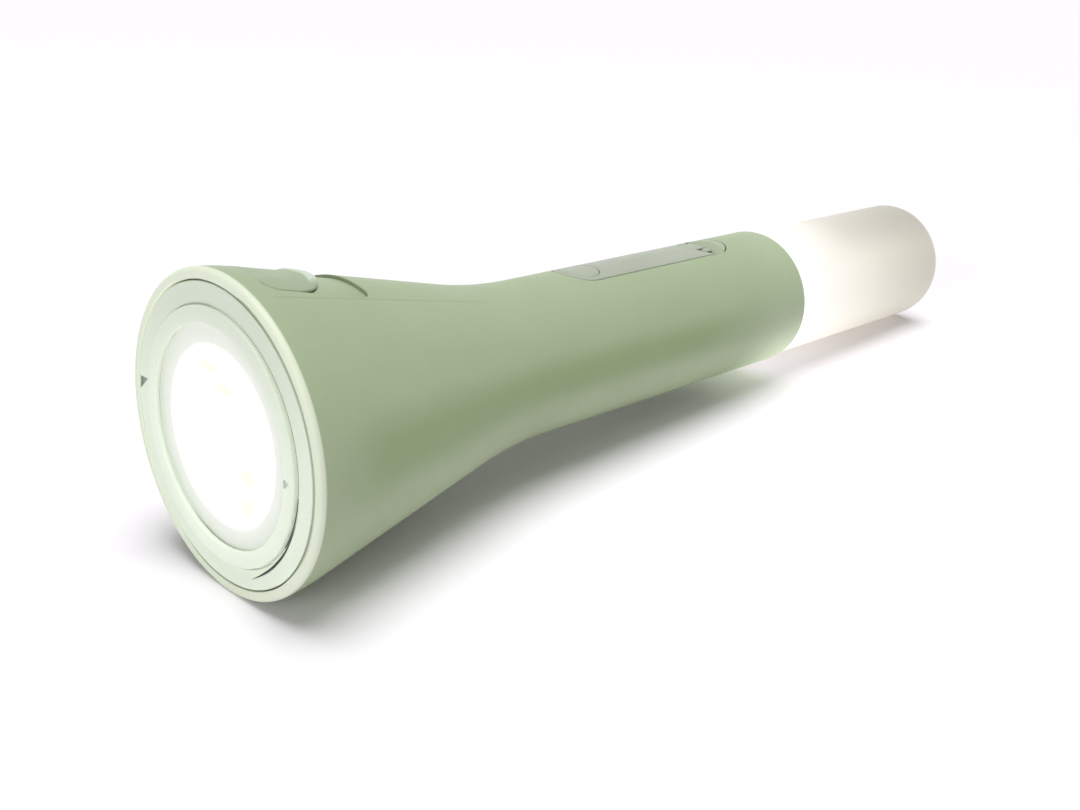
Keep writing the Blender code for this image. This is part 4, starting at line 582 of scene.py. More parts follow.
def sage_shell():
    """The body's plastic: paler on the rim's front, with painted shade along its flanks and painted light
    at the tail and in the bezel's bore.
    """
    tint = colour(162, 178, 142)
    coat = plastic("sage_moulding", tint, 0.45, mottle=0.03)
    tree = coat.tree
    turn = maths(tree, "ARCTAN2", maths(tree, "ABSOLUTE", coat.across), coat.up)
    radius = coat.radius()

    # Painted shade: a darker band along each flank, which ends before the tail
    off = apart(tree, turn, SHADED_FLANK_AT)
    flank_shade = product(
        tree,
        fade(tree, off, radians(22), radians(3)),
        fade(tree, coat.along, 0.168, 0.13),
        fade(tree, coat.along, 0.001, 0.02),
    )
    coat.paint(flank_shade, colour(143, 165, 116))

    # The parting line, from the rim to the neck
    off = apart(tree, turn, PARTING_LINE_AT)
    off = product(tree, off, radius)
    line = product(
        tree,
        spread(tree, off, 0.0001, 0.0004, 0.35, 0.0, True),
        spread(tree, coat.along, 0.004, 0.006),
        fade(tree, coat.along, 0.075, 0.05),
    )
    coat.paint(line, shade(tint, 0.6))

    # The rim's front in a paler tone; on the camera's side it starts a little further out, which leaves a
    # band of body colour at the bore's edge as a painted shade line
    front = fade(tree, coat.along, 0.0006, 0.0001)
    side = fade(tree, coat.across, -0.006, -0.012)
    side = product(tree, side, fade(tree, coat.up, -0.024, -0.014))
    start = maths(tree, "MULTIPLY_ADD", side, 0.0006, BEZEL_BORE)
    beyond = maths(tree, "SUBTRACT", radius, start)
    pale = product(tree, front, spread(tree, beyond, -0.0001, 0.0001))
    coat.paint(pale, colour(*RIM_TONE))

    # Painted light: a paler colour and a glow on the bezel's bore on the far side
    bore_light = product(
        tree,
        spread(tree, radius, BEZEL_BORE + 0.0002, BEZEL_BORE + 0.0005, 1.0, 0.0),
        spread(tree, coat.along, 0.003, 0.004, 1.0, 0.0),
        fade(tree, coat.across, 0.008, 0.020),
    )
    coat.paint(bore_light, colour(*RIM_TONE))

    # Painted light: a glow over the handle's end by the lantern, stronger underneath, added to the bore's
    # painted light
    tail = fade(tree, coat.along, 0.150, HANDLE_END)
    under = spread(tree, coat.up, 0.002, -0.015, 0.1, 1.0, True)
    glow = product(tree, tail, under, 0.4)
    glow = maths(tree, "MULTIPLY_ADD", bore_light, 0.13, glow)
    coat.link("Emission Strength", glow)
    coat.shader.inputs["Emission Color"].default_value = (0.8, 0.9, 0.7, 1.0)
    return coat.material


def pale_ring():
    """The rings' pale plastic, with painted shade towards the top and a painted glow near the lens and in
    the seams.
    """
    tint = colour(227, 238, 218)
    coat = plastic("pale_ring_moulding", tint, 0.38, 0.000012, 0.02, 0.15, 0.2)
    tree = coat.tree
    radius = coat.radius()
    left = maths(tree, "GREATER_THAN", coat.across, 0.0)
    # Painted shade: darker towards the top
    high = fade(tree, coat.up, -0.005, 0.032)
    coat.paint(high, shade(tint, 0.82))

    # The sunk marks' floors and a strip of the bezel's bore: painted near black as painted shade by the
    # crescent, paler elsewhere
    low = RIM_PLANE + MARK_DEPTH / 2
    floor = band(tree, coat.along, low, low + MARK_DEPTH)
    outer = product(tree, band(tree, radius, BEZEL_INNER - 2 * GAP, BEZEL_OUTER - SEAM), floor)
    coat.paint(outer, mixed(tree, left, colour(26, 34, 24), colour(140, 154, 140)))
    low = LENS_RING_FRONT + MARK_DEPTH / 2
    floor = band(tree, coat.along, low, low + MARK_DEPTH)
    start = LENS_RING_INNER + 2 * SEAM
    inner = product(tree, band(tree, radius, start, LENS_SEAT_RADIUS - SEAM), floor)
    coat.paint(inner, colour(206, 214, 206))

    # Painted light: a glow in the rings' bores and in the seams between them, but none by the crescent's
    # top
    glow = spread(tree, radius, LENS_RING_INNER, 0.0300, 0.06, 0.0)
    edge = LENS_RING_INNER + LENS_RING_EDGE + SEAM
    bore = spread(tree, radius, LENS_RING_INNER, edge, 0.05, 0.0)
    inside = maths(tree, "GREATER_THAN", coat.along, RIM_PLANE + RIM_EDGE / 4)
    dark = band(tree, coat.up, -0.0165, -0.004)
    dark = product(tree, dark, band(tree, coat.across, -0.03, -0.012))
    seam = product(
        tree,
        band(tree, radius, LENS_RING_OUTER - SEAM, BEZEL_INNER + SEAM),
        spread(tree, coat.across, 0.004, -0.006, 0.1, 0.55, True),
        maths(tree, "SUBTRACT", 1.0, dark),
        spread(tree, coat.up, -0.024, -0.014, 0.3, 1.0),
    )
    leak = spread(tree, coat.across, 0.012, 0.022, 0.0, 0.3, True)
    rim = band(tree, radius, BEZEL_OUTER - SEAM, BEZEL_OUTER + SEAM)
    seam = maths(tree, "MULTIPLY_ADD", rim, leak, seam)
    glow = maths(tree, "ADD", maths(tree, "MULTIPLY_ADD", seam, inside, glow), bore)
    coat.link("Emission Strength", glow)
    coat.shader.inputs["Emission Color"].default_value = (1.0, 1.0, 0.97, 1.0)
    return coat.material


def slider_finish(centre, half_width):
    """The slider's plastic, with a painted highlight on the raised crescent lip."""
    coat = plastic("pale_slider_moulding", colour(154, 170, 137), 0.42, 0.000012, 0.03, 0.3)
    tree = coat.tree
    ahead = maths(tree, "SUBTRACT", coat.along, centre - SLIDER_LIP_WIDTH)
    reach = length(tree, ahead, coat.across)
    start = LIP_END + SLIDER_LIP_WIDTH
    away = maths(tree, "ABSOLUTE", coat.across)
    # Painted highlight: a paler colour on the raised lip, fading out towards its sides
    lip_highlight = product(
        tree,
        fade(tree, reach, half_width - 0.0005, half_width + 0.0003),
        spread(tree, ahead, start, start + LIP_RAMP),
        spread(tree, away, LIP_REACH - LIP_FADE, LIP_REACH, 1.0, 0.0),
    )
    coat.paint(lip_highlight, colour(205, 218, 202))
    return coat.material


def crank_finish():
    """The crank's grey plastic, greener over the hub."""
    coat = plastic("crank_moulding", colour(166, 174, 156), 0.42, 0.00001, 0.04, 0.35, 0.1)
    hub = fade(coat.tree, coat.along, HUB_AT - 0.0023, HUB_AT - GAP)
    coat.paint(hub, colour(168, 180, 152))
    return coat.material


def lens_glow():
    """The lit lens: a white core with the lamps' yellow spots, and a soft glow out to the ring."""
    coat = Finish("lit_lens", colour(212, 220, 206))
    tree = coat.tree
    radius = coat.radius()
    glass = coat.noise(700.0)
    core = fade(tree, radius, LENS_CORE + 0.0012, LENS_CORE - 0.0005)
    coat.paint(glass, colour(220, 226, 214))
    coat.paint(core, colour(60, 60, 58))
    ripple = product(tree, coat.noise(420.0, 2.0), 0.5)
    spots = 0.0
    for across, up, half_width, half_height in LAMP_SPOTS:
        aside = maths(tree, "DIVIDE", maths(tree, "SUBTRACT", coat.across, across), half_width)
        above = maths(tree, "DIVIDE", maths(tree, "SUBTRACT", coat.up, up), half_height)
        reach = maths(tree, "ADD", length(tree, aside, above), ripple)
        spot = fade(tree, reach, 1.6, 0.8)
        spots = maths(tree, "MAXIMUM", spot, spots)
    end = LENS_RING_INNER - 2 * SEAM
    rim = spread(tree, radius, LENS_CORE + LENS_MOAT[0], end, 0.18, 0.06)
    seat = spread(tree, radius, end, LENS_RING_INNER + SEAM, 0.0, 0.25)
    seat = product(tree, seat, spread(tree, coat.up, -0.0228, -0.0205))
    strength = maths(tree, "ADD", maths(tree, "ADD", core, rim), seat)
    coat.link("Emission Color", mixed(tree, spots, (1.0, 1.0, 0.97, 1.0), (0.86, 0.87, 0.63, 1.0)))
    coat.link("Emission Strength", strength)
    coat.rough(glass, 0.08, 0.2)
    coat.bump(glass, 0.00001, 0.4)
    return coat.material


def frosted_tube():
    """The lantern's frosted tube: brightest at its foot, greige and still lit at the tip."""
    coat = Finish("frosted_tube", colour(98, 96, 91))
    tree = coat.tree
    frost = coat.noise(2600.0)
    clouds = coat.noise(70.0)
    coat.paint(spread(tree, clouds, 0.35, 0.65), colour(104, 102, 97))
    share = spread(tree, coat.along, DIFFUSER_START, DIFFUSER_END)
    drift = maths(tree, "MULTIPLY_ADD", clouds, 0.04, maths(tree, "SUBTRACT", share, 0.02))
    ramp = node(tree, "ShaderNodeValToRGB", {0: drift})
    stops = ramp.color_ramp.elements
    stops[0].position = 0.0
    stops[0].color = TUBE_GLOW[0][1]
    stops[1].position = 1.0
    stops[1].color = TUBE_GLOW[-1][1]
    for place, tint in TUBE_GLOW[1:-1]:
        stop = stops.new(place)
        stop.color = tint
    coat.link("Emission Color", ramp.outputs[0])
    upper = spread(tree, coat.up, 0.009, 0.0185, 0.0, TUBE_TOP_SHADE, True)
    outer = product(tree, upper, fade(tree, share, 0.12, 0.5))
    coat.link("Emission Strength", maths(tree, "SUBTRACT", 1.0, outer))
    coat.rough(frost, 0.36, 0.5)
    coat.bump(frost, 0.00002, 0.5)
    return coat.material


def circuit_board():
    """Solder mask over copper tracks, with bare pads."""
    coat = Finish("solder_mask", (0.015, 0.09, 0.035, 1.0))
    tree = coat.tree
    links = {"Vector": coat.coords, "Scale": 520.0, "Randomness": 0.55}
    tracks = node(tree, "ShaderNodeTexVoronoi", links, feature="DISTANCE_TO_EDGE").outputs["Distance"]
    track = spread(tree, tracks, 0.05, 0.09, 1.0, 0.0)
    links = {"Vector": coat.coords, "Scale": 430.0, "Randomness": 0.3}
    pads = node(tree, "ShaderNodeTexVoronoi", links, feature="F1").outputs["Distance"]
    pad = spread(tree, pads, 0.16, 0.12)
    coat.paint(track, (0.04, 0.2, 0.08, 1.0))
    coat.paint(pad, (0.7, 0.62, 0.42, 1.0))
    coat.link("Metallic", product(tree, pad, 0.9))
    coat.link("Roughness", spread(tree, track, 0.0, 1.0, 0.45, 0.32))
    coat.bump(maths(tree, "ADD", track, pad), 0.00003, 0.8)
    return coat


def battery_sleeve():
    """Shrink sleeve with lengthwise wrinkles and a pale plain band."""
    coat = Finish("shrink_sleeve", (0.03, 0.09, 0.24, 1.0))
    tree = coat.tree
    clouds = coat.noise(120.0)
    coat.paint(clouds, (0.06, 0.16, 0.36, 1.0))
    off = apart(tree, coat.along, BATTERY_MIDDLE)
    coat.paint(spread(tree, off, 0.006, 0.0063, 1.0, 0.0), (0.55, 0.58, 0.62, 1.0))
    coat.rough(clouds, 0.28, 0.42)
    coat.bump(coat.noise(400.0, 3.0, (0.3, 1.0, 1.0)), 0.00005, 0.5)
    return coat


def copper_winding():
    """Enamelled wire laid in turns."""
    coat = Finish("wound_copper", (0.3, 0.1, 0.04, 1.0), 1.0)
    tree = coat.tree
    links = {"Vector": coat.coords, "Scale": 900.0, "Distortion": 0.3, "Detail": 1.0}
    turns = node(tree, "ShaderNodeTexWave", links, bands_direction="Z").outputs["Fac"]
    clouds = coat.noise(200.0)
    coat.paint(turns, (0.8, 0.36, 0.17, 1.0))
    coat.paint(product(tree, clouds, 0.3), (0.5, 0.2, 0.08, 1.0))
    coat.rough(clouds, 0.3, 0.45)
    coat.bump(turns, 0.00015, 0.9)
    return coat


def reflector_coat():
    """Metallised plastic with a faint orange peel."""
    coat = Finish("metallised_cup", (0.8, 0.8, 0.78, 1.0), 1.0)
    peel = coat.noise(800.0)
    coat.paint(peel, (0.92, 0.92, 0.9, 1.0))
    coat.rough(peel, 0.08, 0.2)
    coat.bump(peel, 0.00002, 0.5)
    return coat


# Shapes of the head and the handle


def cone_slope():
    return (HEAD_RADIUS + CONE_SHOULDER - HANDLE_RADIUS) / CONE_LENGTH


def cone_radius(along):
    return HEAD_RADIUS + CONE_SHOULDER - cone_slope() * along


def outer_radius(along):
    """Outside radius of the head or the handle behind the rim's curve."""
    blend_start = CONE_LENGTH - NECK_BLEND * cos(atan(cone_slope()))
    blend_end = CONE_LENGTH + NECK_BLEND
    if along < blend_start:
        return cone_radius(along)
    if along < blend_end:
        blend = NECK_BLEND / tan(atan(cone_slope()) / 2)
        return HANDLE_RADIUS + blend - sqrt(blend**2 - (blend_end - along) ** 2)
    return HANDLE_RADIUS


def inner_radius(along):
    """Inside radius of the shell, whose wall thins from the head to the handle."""
    share = (along - WALL_TAPER_START) / (CONE_LENGTH + NECK_BLEND - WALL_TAPER_START)
    share = min(max(share, 0.0), 1.0)
    return outer_radius(along) - HEAD_WALL + (HEAD_WALL - (HANDLE_RADIUS - HANDLE_BORE)) * share


def rim_curve():
    """The curve from the rim's edge into the cone."""
    control = RIM_CURVE * RIM_PULL_RATIO
    points = []
    for i in range(RIM_STEPS + 1):
        t = i / RIM_STEPS
        along = 2 * t * (1 - t) * control + t * t * RIM_CURVE
        radius = (1 - t) ** 2 * HEAD_RADIUS + 2 * t * (1 - t) * cone_radius(control)
        points.append((along, radius + t * t * cone_radius(RIM_CURVE)))
    return points


def skin_radius(along):
    """Outside radius anywhere behind the rim, the rim's curve included."""
    run = rim_curve()
    if along >= RIM_CURVE:
        return outer_radius(along)
    for (a, low), (b, high) in zip(run, run[1:]):
        if a <= along <= b:
            return low + (high - low) * (along - a) / (b - a)
    return HEAD_RADIUS


def places(start, end, step):
    """Evenly spaced places from start to end, the end left out."""
    count = max(1, round((end - start) / step))
    return [start + (end - start) * i / count for i in range(count)]


def shell_outline():
    """The housing's outside and inside, fine enough for smooth light."""
    outline = arc((0.0, HEAD_RADIUS - RIM_EDGE), RIM_EDGE, pi, pi / 2, 8)[:-1]
    outline += rim_curve()
    tail = HANDLE_END - HANDLE_EDGE
    outline += [(a, outer_radius(a)) for a in places(RIM_CURVE, tail, 0.0025)[1:]]
    outline += arc((tail, HANDLE_RADIUS - HANDLE_EDGE), HANDLE_EDGE, pi / 2, 0.0, 5)
    outline += [(HANDLE_END, HANDLE_BORE), (LEDGE_BACK, HANDLE_BORE)]
    outline += [(LEDGE_BACK, LEDGE_BORE), (LEDGE_FRONT, LEDGE_BORE), (LEDGE_FRONT, HANDLE_BORE)]
    neck_end = CONE_LENGTH + NECK_BLEND
    run = places(WALL_TAPER_START, neck_end, 0.004) + [neck_end]
    outline += [(a, inner_radius(a)) for a in reversed(run)]
    lamp_bore_end = (cone_radius(0.0) - HEAD_WALL - LAMP_BORE) / cone_slope()
    outline += [(lamp_bore_end, LAMP_BORE), (FLANGE_SEAT_AT, LAMP_BORE)]
    outline += [(FLANGE_SEAT_AT, FLANGE_BORE), (BEZEL_SEAT_AT, FLANGE_BORE)]
    edge = RIM_EDGE / 4
    outline += [(BEZEL_SEAT_AT, BEZEL_BORE), (RIM_PLANE + edge, BEZEL_BORE)]
    outline += arc((RIM_PLANE + edge, BEZEL_BORE + edge), edge, -pi / 2, -pi, 3)[1:]
    return outline


def pill(start, end, half_width):
    back = arc((end - half_width, 0.0), half_width, -pi / 2, pi / 2, 32)
    front = arc((start + half_width, 0.0), half_width, pi / 2, 3 * pi / 2, 32)
    return back + front


def recess_tool():
    """The space that the switch's recess takes out of the head's skin."""
    end = RECESS_START + RECESS_LENGTH
    run = [RECESS_START - GAP, *places(RECESS_START, end, 0.001), end, end + GAP]
    outside = [(a, skin_radius(a) + RECESS_DEPTH) for a in run]
    inside = [(a, skin_radius(a) - RECESS_DEPTH) for a in run]
    tool = made("recess", turned(outside + inside[::-1], FINE_SIDES))
    corners = [(RECESS_START, -RECESS_HALF_WIDTH), (end, -RECESS_HALF_WIDTH)]
    corners += [(end, RECESS_HALF_WIDTH), (RECESS_START, RECESS_HALF_WIDTH)]
    outline = filleted([(*corner, RECESS_CORNER) for corner in corners], 10)
    return shaped(tool, prism(outline, HANDLE_RADIUS, 2 * HEAD_RADIUS), "INTERSECT")


def make_shell():
    """The one moulded shell, with the crank's pocket, the switch's recess and its post's slot."""
    shell = made("shell", turned(shell_outline(), FINE_SIDES))
    outline = pill(CRANK_START, CRANK_START + CRANK_LENGTH, CRANK_HALF_WIDTH)
    shaped(shell, prism(outline, ARM_BOTTOM - GAP, 2 * HANDLE_RADIUS))
    shaped_by(shell, recess_tool())
    half = POST_WIDTH / 2 + GAP
    slot_end = POST_FRONT + POST_LENGTH + SLIDE_TRAVEL + GAP
    shaped(shell, block((POST_FRONT - GAP, -half, LENS_RING_INNER), (slot_end, half, HEAD_RADIUS)))
    placed(shell, "housing", "sage_shell", sage_shell(), "main_housing")


def on_ring(marks, inner, outer):
    """A mark's places on a ring, as (radius, angle)."""
    return [(inner + (outer - inner) * share, radians(turn)) for share, turn in marks]


def sunk_mark(outline, plane):
    """The space that an outline of (radius, angle) places takes out of a ring's front plane."""
    corners = [(-sin(angle) * radius, cos(angle) * radius) for radius, angle in outline]
    return prism(corners, plane - MARK_DEPTH, plane + MARK_DEPTH, "X")


def crescent(ends):
    """A line along some places that swells from a point at either end."""
    spine = []
    for (radius, angle), (next_radius, next_angle) in zip(ends, ends[1:]):
        for i in range(CRESCENT_STEPS):
            share = i / CRESCENT_STEPS
            turn = angle + (next_angle - angle) * share
            spine.append((radius + (next_radius - radius) * share, turn))
    spine.append(ends[-1])
    last = len(spine) - 1
    inside = []
    for i, (radius, angle) in enumerate(spine):
        inside.append((radius - CRESCENT_WIDTH * sin(pi * i / last), angle))
    return spine + inside[-2:0:-1]


def make_bezel(material):
    groove = LENS_RING_FLANGE + GAP
    corners = [(RIM_PLANE, BEZEL_INNER, BEZEL_EDGE), (RIM_PLANE, BEZEL_OUTER, BEZEL_EDGE)]
    corners += [(BEZEL_BACK, BEZEL_OUTER, 0.0), (BEZEL_BACK, groove, 0.0)]
    corners += [(BEZEL_LIP_BACK, groove, 0.0), (BEZEL_LIP_BACK, BEZEL_INNER, 0.0)]
    ring = made("rim_bezel", turned(filleted(corners), FINE_SIDES))
    shaped(ring, sunk_mark(on_ring(BEZEL_ARROW, BEZEL_INNER, BEZEL_OUTER), RIM_PLANE))
    shaped(ring, sunk_mark(crescent(on_ring(CRESCENT, BEZEL_INNER, BEZEL_OUTER)), RIM_PLANE))
    placed(ring, "housing", "pale_ring", material, "bezel_ring")


def make_turning_ring(material):
    front = LENS_RING_FRONT
    flange_front = BEZEL_LIP_BACK + GAP
    flange_back = flange_front + LENS_RING_FLANGE_THICKNESS
    seat = LENS_FRONT - GAP
    edge = LENS_RING_EDGE
    corners = [(front, LENS_RING_INNER, edge), (front, LENS_RING_OUTER, edge)]
    corners += [(flange_front, LENS_RING_OUTER, 0.0), (flange_front, LENS_RING_FLANGE, 0.0)]
    corners += [(flange_back, LENS_RING_FLANGE, 0.0), (flange_back, LENS_SEAT_RADIUS, 0.0)]
    corners += [(seat, LENS_SEAT_RADIUS, 0.0), (seat, LENS_RING_INNER, 0.0)]
    ring = made("turning_ring", turned(filleted(corners), FINE_SIDES))
    shaped(ring, sunk_mark(on_ring(LENS_ARROW, LENS_RING_INNER, LENS_RING_OUTER), front))
    placed(ring, "lens_ring", "pale_ring", material, "lens_ring")


def make_lens():
    """The lens: a crowned core, a shallow moat round it and a flat margin."""
    radius = LENS_SEAT_RADIUS - GAP
    outline = [(LENS_FRONT - LENS_CROWN, 0.0)]
    for i in range(1, 9):
        turn = i / 8 * pi / 2
        outline.append((LENS_FRONT - LENS_CROWN * cos(turn), LENS_CORE * sin(turn)))
    moat = LENS_FRONT + LENS_CROWN / 2
    start, end, level = [LENS_CORE + step for step in LENS_MOAT]
    outline += [(moat, start), (moat, end), (LENS_FRONT, level), (LENS_FRONT, LENS_MARGIN)]
    outline += [(LENS_FRONT, radius - LENS_EDGE), (LENS_FRONT + LENS_EDGE, radius)]
    outline += [(LENS_BACK, radius), (LENS_BACK, 0.0)]
    lens = made("lens_disc", turned(outline, FINE_SIDES))
    placed(lens, "lens_ring", "clear_lens", lens_glow(), "front_lens")


# Slide switch


def slider_outline(start, end, half_width, inset):
    """The slider's outline drawn in from its edge: round behind, with round corners in front."""
    half = half_width - inset
    centre = end - half_width
    corner = max(RECESS_CORNER - GAP - inset, 0.0004)
    back = arc((centre, 0.0), half, -pi / 2, pi / 2, 48)
    front = start + inset
    left = arc((front + corner, half - corner), corner, pi / 2, pi, 10)
    right = arc((front + corner, corner - half), corner, pi, 3 * pi / 2, 10)
    return back + left + right


def make_slider():
    """A moulded thumb slider: dished, with a raised crescent lip behind and soft edges."""
    start = RECESS_START + GAP
    end = start + SLIDER_LENGTH
    half_width = RECESS_HALF_WIDTH - GAP
    centre = end - half_width
    dish_at = start + SLIDER_LENGTH * DISH_SHARE

    def height(x, y, drop):
        level = sqrt(skin_radius(x) ** 2 - y * y)
        inner = hypot(x - centre + SLIDER_LIP_WIDTH, y) - half_width
        rise = min(max(inner / LIP_SLOPE + 0.5, 0.0), 1.0)
        rise *= min(max((x - centre - LIP_END) / LIP_RAMP, 0.0), 1.0)
        rise *= min(max((LIP_REACH - abs(y)) / LIP_FADE, 0.0), 1.0)
        away = hypot((x - dish_at) / DISH_HALF_LENGTH, y / DISH_HALF_WIDTH)
        dish = DISH_DEPTH * (1 - min(away, 1.0) ** 2) ** 2
        return level + SLIDER_LIP * rise * rise * (3 - 2 * rise) - dish - drop

    bm = bmesh.new()
    depth = RECESS_DEPTH - GAP
    ring = []
    for x, y in slider_outline(start, end, half_width, 0.0):
        ring.append(bm.verts.new((x, y, sqrt(skin_radius(x) ** 2 - y * y) - depth)))
    loops = [ring]
    for i in range(SLIDER_EDGE_STEPS + 1):
        turn = pi / 2 * i / SLIDER_EDGE_STEPS
        inset = SLIDER_EDGE * (1 - cos(turn))
        drop = SLIDER_EDGE * (1 - sin(turn))
        outline = slider_outline(start, end, half_width, inset)
        loops.append([bm.verts.new((x, y, height(x, y, drop))) for x, y in outline])
    middle = (start + end) / 2
    inner = slider_outline(start, end, half_width, SLIDER_EDGE)
    for k in range(1, SLIDER_LOOPS):
        share = 1 - k / SLIDER_LOOPS
        ring = []
        for x, y in inner:
            u = middle + (x - middle) * share
            v = y * share
            ring.append(bm.verts.new((u, v, height(u, v, 0.0))))
        loops.append(ring)
    top = bm.verts.new((middle, 0.0, height(middle, 0.0, 0.0)))
    base = bm.verts.new((middle, 0.0, skin_radius(middle) - depth))
    skinned(bm, [[base], *loops, [top]])
    slider = made("thumb_slider", bm)
    ends = (POST_FRONT, POST_FRONT + POST_LENGTH)
    outline = [(x, cone_radius(x) - (depth + DISH_DEPTH) / 2) for x in ends]
    outline += [(x, POST_BOTTOM) for x in reversed(ends)]
    shaped(slider, prism(outline, -POST_WIDTH / 2, POST_WIDTH / 2, "Y"), "UNION")
    placed(slider, "slider", "pale_slider", slider_finish(centre, half_width), "switch_slider")


# Crank


def rounded_off(obj):
    """Trim a crank piece so that its top follows the handle's skin."""
    skin = rod(CRANK_START, CRANK_START + CRANK_LENGTH, HANDLE_RADIUS, FINE_SIDES)
    return shaped(obj, skin, "INTERSECT")


def make_arm(material):
    half = CRANK_HALF_WIDTH - GAP
    clear = HUB_RADIUS + GAP
    horn = asin(half / clear)
    root = asin(TONGUE_HALF_WIDTH / clear)
    outline = arc((KNOB_AT, 0.0), half, pi / 2, 3 * pi / 2, 48)
    outline += arc((HUB_AT, 0.0), clear, pi + horn, pi + root, 16)
    outline += [(HINGE_AT, -TONGUE_HALF_WIDTH), (HINGE_AT, TONGUE_HALF_WIDTH)]
    outline += arc((HUB_AT, 0.0), clear, pi - root, pi - horn, 16)
    arm = made("crank_handle", prism(outline, ARM_BOTTOM, ARM_TOP + GAP))
    bevelled(rounded_off(arm), CRANK_EDGE)
    reach = HINGE_AT - HUB_AT + clear
    under = [(HINGE_AT - reach, ARM_BOTTOM - GAP), (HINGE_AT + HINGE_DROP, ARM_BOTTOM - GAP)]
    under += [(HINGE_AT + HINGE_DROP, HINGE_Z)]
    under += arc((HINGE_AT, HINGE_Z), HINGE_DROP, 0.0, -pi / 2, 12)[1:]
    under.append((HINGE_AT - reach, HINGE_Z - HINGE_DROP))
    side = TONGUE_HALF_WIDTH + GAP / 2
    shaped(arm, prism(under, -side, side, "Y"))
    hinge = (HINGE_AT, 0.0, HINGE_Z)
    eye = rod(-TONGUE_HALF_WIDTH, TONGUE_HALF_WIDTH, HINGE_DROP, 40, "Y", hinge)
    shaped_by(arm, rounded_off(made("tongue_eye", eye)), "UNION")
    reach = 2 * TONGUE_HALF_WIDTH
    shaped(arm, rod(-reach, reach, HINGE_PIN_RADIUS + GAP, 32, "Y", hinge))
    bore = KNOB_PIN_RADIUS + GAP
    seat = ARM_TOP - KNOB_CAP_THICKNESS - GAP
    seat_radius = KNOB_CAP_RADIUS + GAP / 2
    outline = [(ARM_BOTTOM - GAP, 0.0), (ARM_BOTTOM - GAP, bore), (seat, bore)]
    outline += [(seat, seat_radius), (ARM_TOP + 2 * GAP, seat_radius), (ARM_TOP + 2 * GAP, 0.0)]
    shaped(arm, turned(outline, SMALL_SIDES, "Z", (KNOB_AT, 0.0, 0.0)))
    placed(arm, "crank", "crank_grey", material, "crank_arm")


def make_knob(material):
    centre = (KNOB_AT, 0.0, 0.0)
    shank_end = KNOB_BOTTOM + GAP + KNOB_RIVET_THICKNESS
    cap_bottom = ARM_TOP - KNOB_CAP_THICKNESS
    corners = [(ARM_TOP + GAP, 0.0, 0.0), (ARM_TOP + GAP, KNOB_CAP_RADIUS, 0.0)]
    corners.append((cap_bottom, KNOB_CAP_RADIUS, 0.0))
    corners += [(cap_bottom, KNOB_PIN_RADIUS, 0.0), (shank_end, KNOB_PIN_RADIUS, 0.0)]
    corners.append((shank_end, KNOB_RIVET_RADIUS, 0.0))
    corners.append((KNOB_BOTTOM + GAP, KNOB_RIVET_RADIUS, KNOB_RIVET_EDGE))
    corners.append((KNOB_BOTTOM + GAP, 0.0, 0.0))
    pin = made("knob_cap", turned(filleted(corners), SMALL_SIDES, "Z", centre))
    bevelled(rounded_off(pin), KNOB_CAP_EDGE)
    placed(pin, "crank", "crank_grey", material, "knob_pin")

    bore = KNOB_PIN_RADIUS + GAP
    pocket = KNOB_RIVET_RADIUS + GAP
    corners = [(KNOB_TOP, bore, 0.0), (KNOB_TOP, KNOB_RADIUS, KNOB_EDGE)]
    corners += [(KNOB_BOTTOM, KNOB_RADIUS, KNOB_EDGE), (KNOB_BOTTOM, pocket, 0.0)]
    corners += [(shank_end + GAP, pocket, 0.0), (shank_end + GAP, bore, 0.0)]
    grip = made("knob_grip", turned(filleted(corners, 6), SMALL_SIDES, "Z", centre))
    grooves = bmesh.new()
    wide = KNOB_RADIUS + KNOB_GROOVE_REACH
    deep = KNOB_RADIUS - KNOB_GROOVE_DEPTH
    mouth = KNOB_GROOVE_WIDTH / 2
    floor = KNOB_GROOVE_FLOOR / 2
    for i in range(KNOB_GROOVES):
        level = KNOB_BOTTOM + (KNOB_TOP - KNOB_BOTTOM) * (i + 1) / (KNOB_GROOVES + 1)
        ring = [(level - mouth, wide), (level - floor, deep), (level + floor, deep), (level + mouth, wide)]
        turned(ring, SMALL_SIDES, "Z", centre, grooves)
    shaped(grip, grooves)
    placed(grip, "knob", "crank_grey", material, "crank_knob")


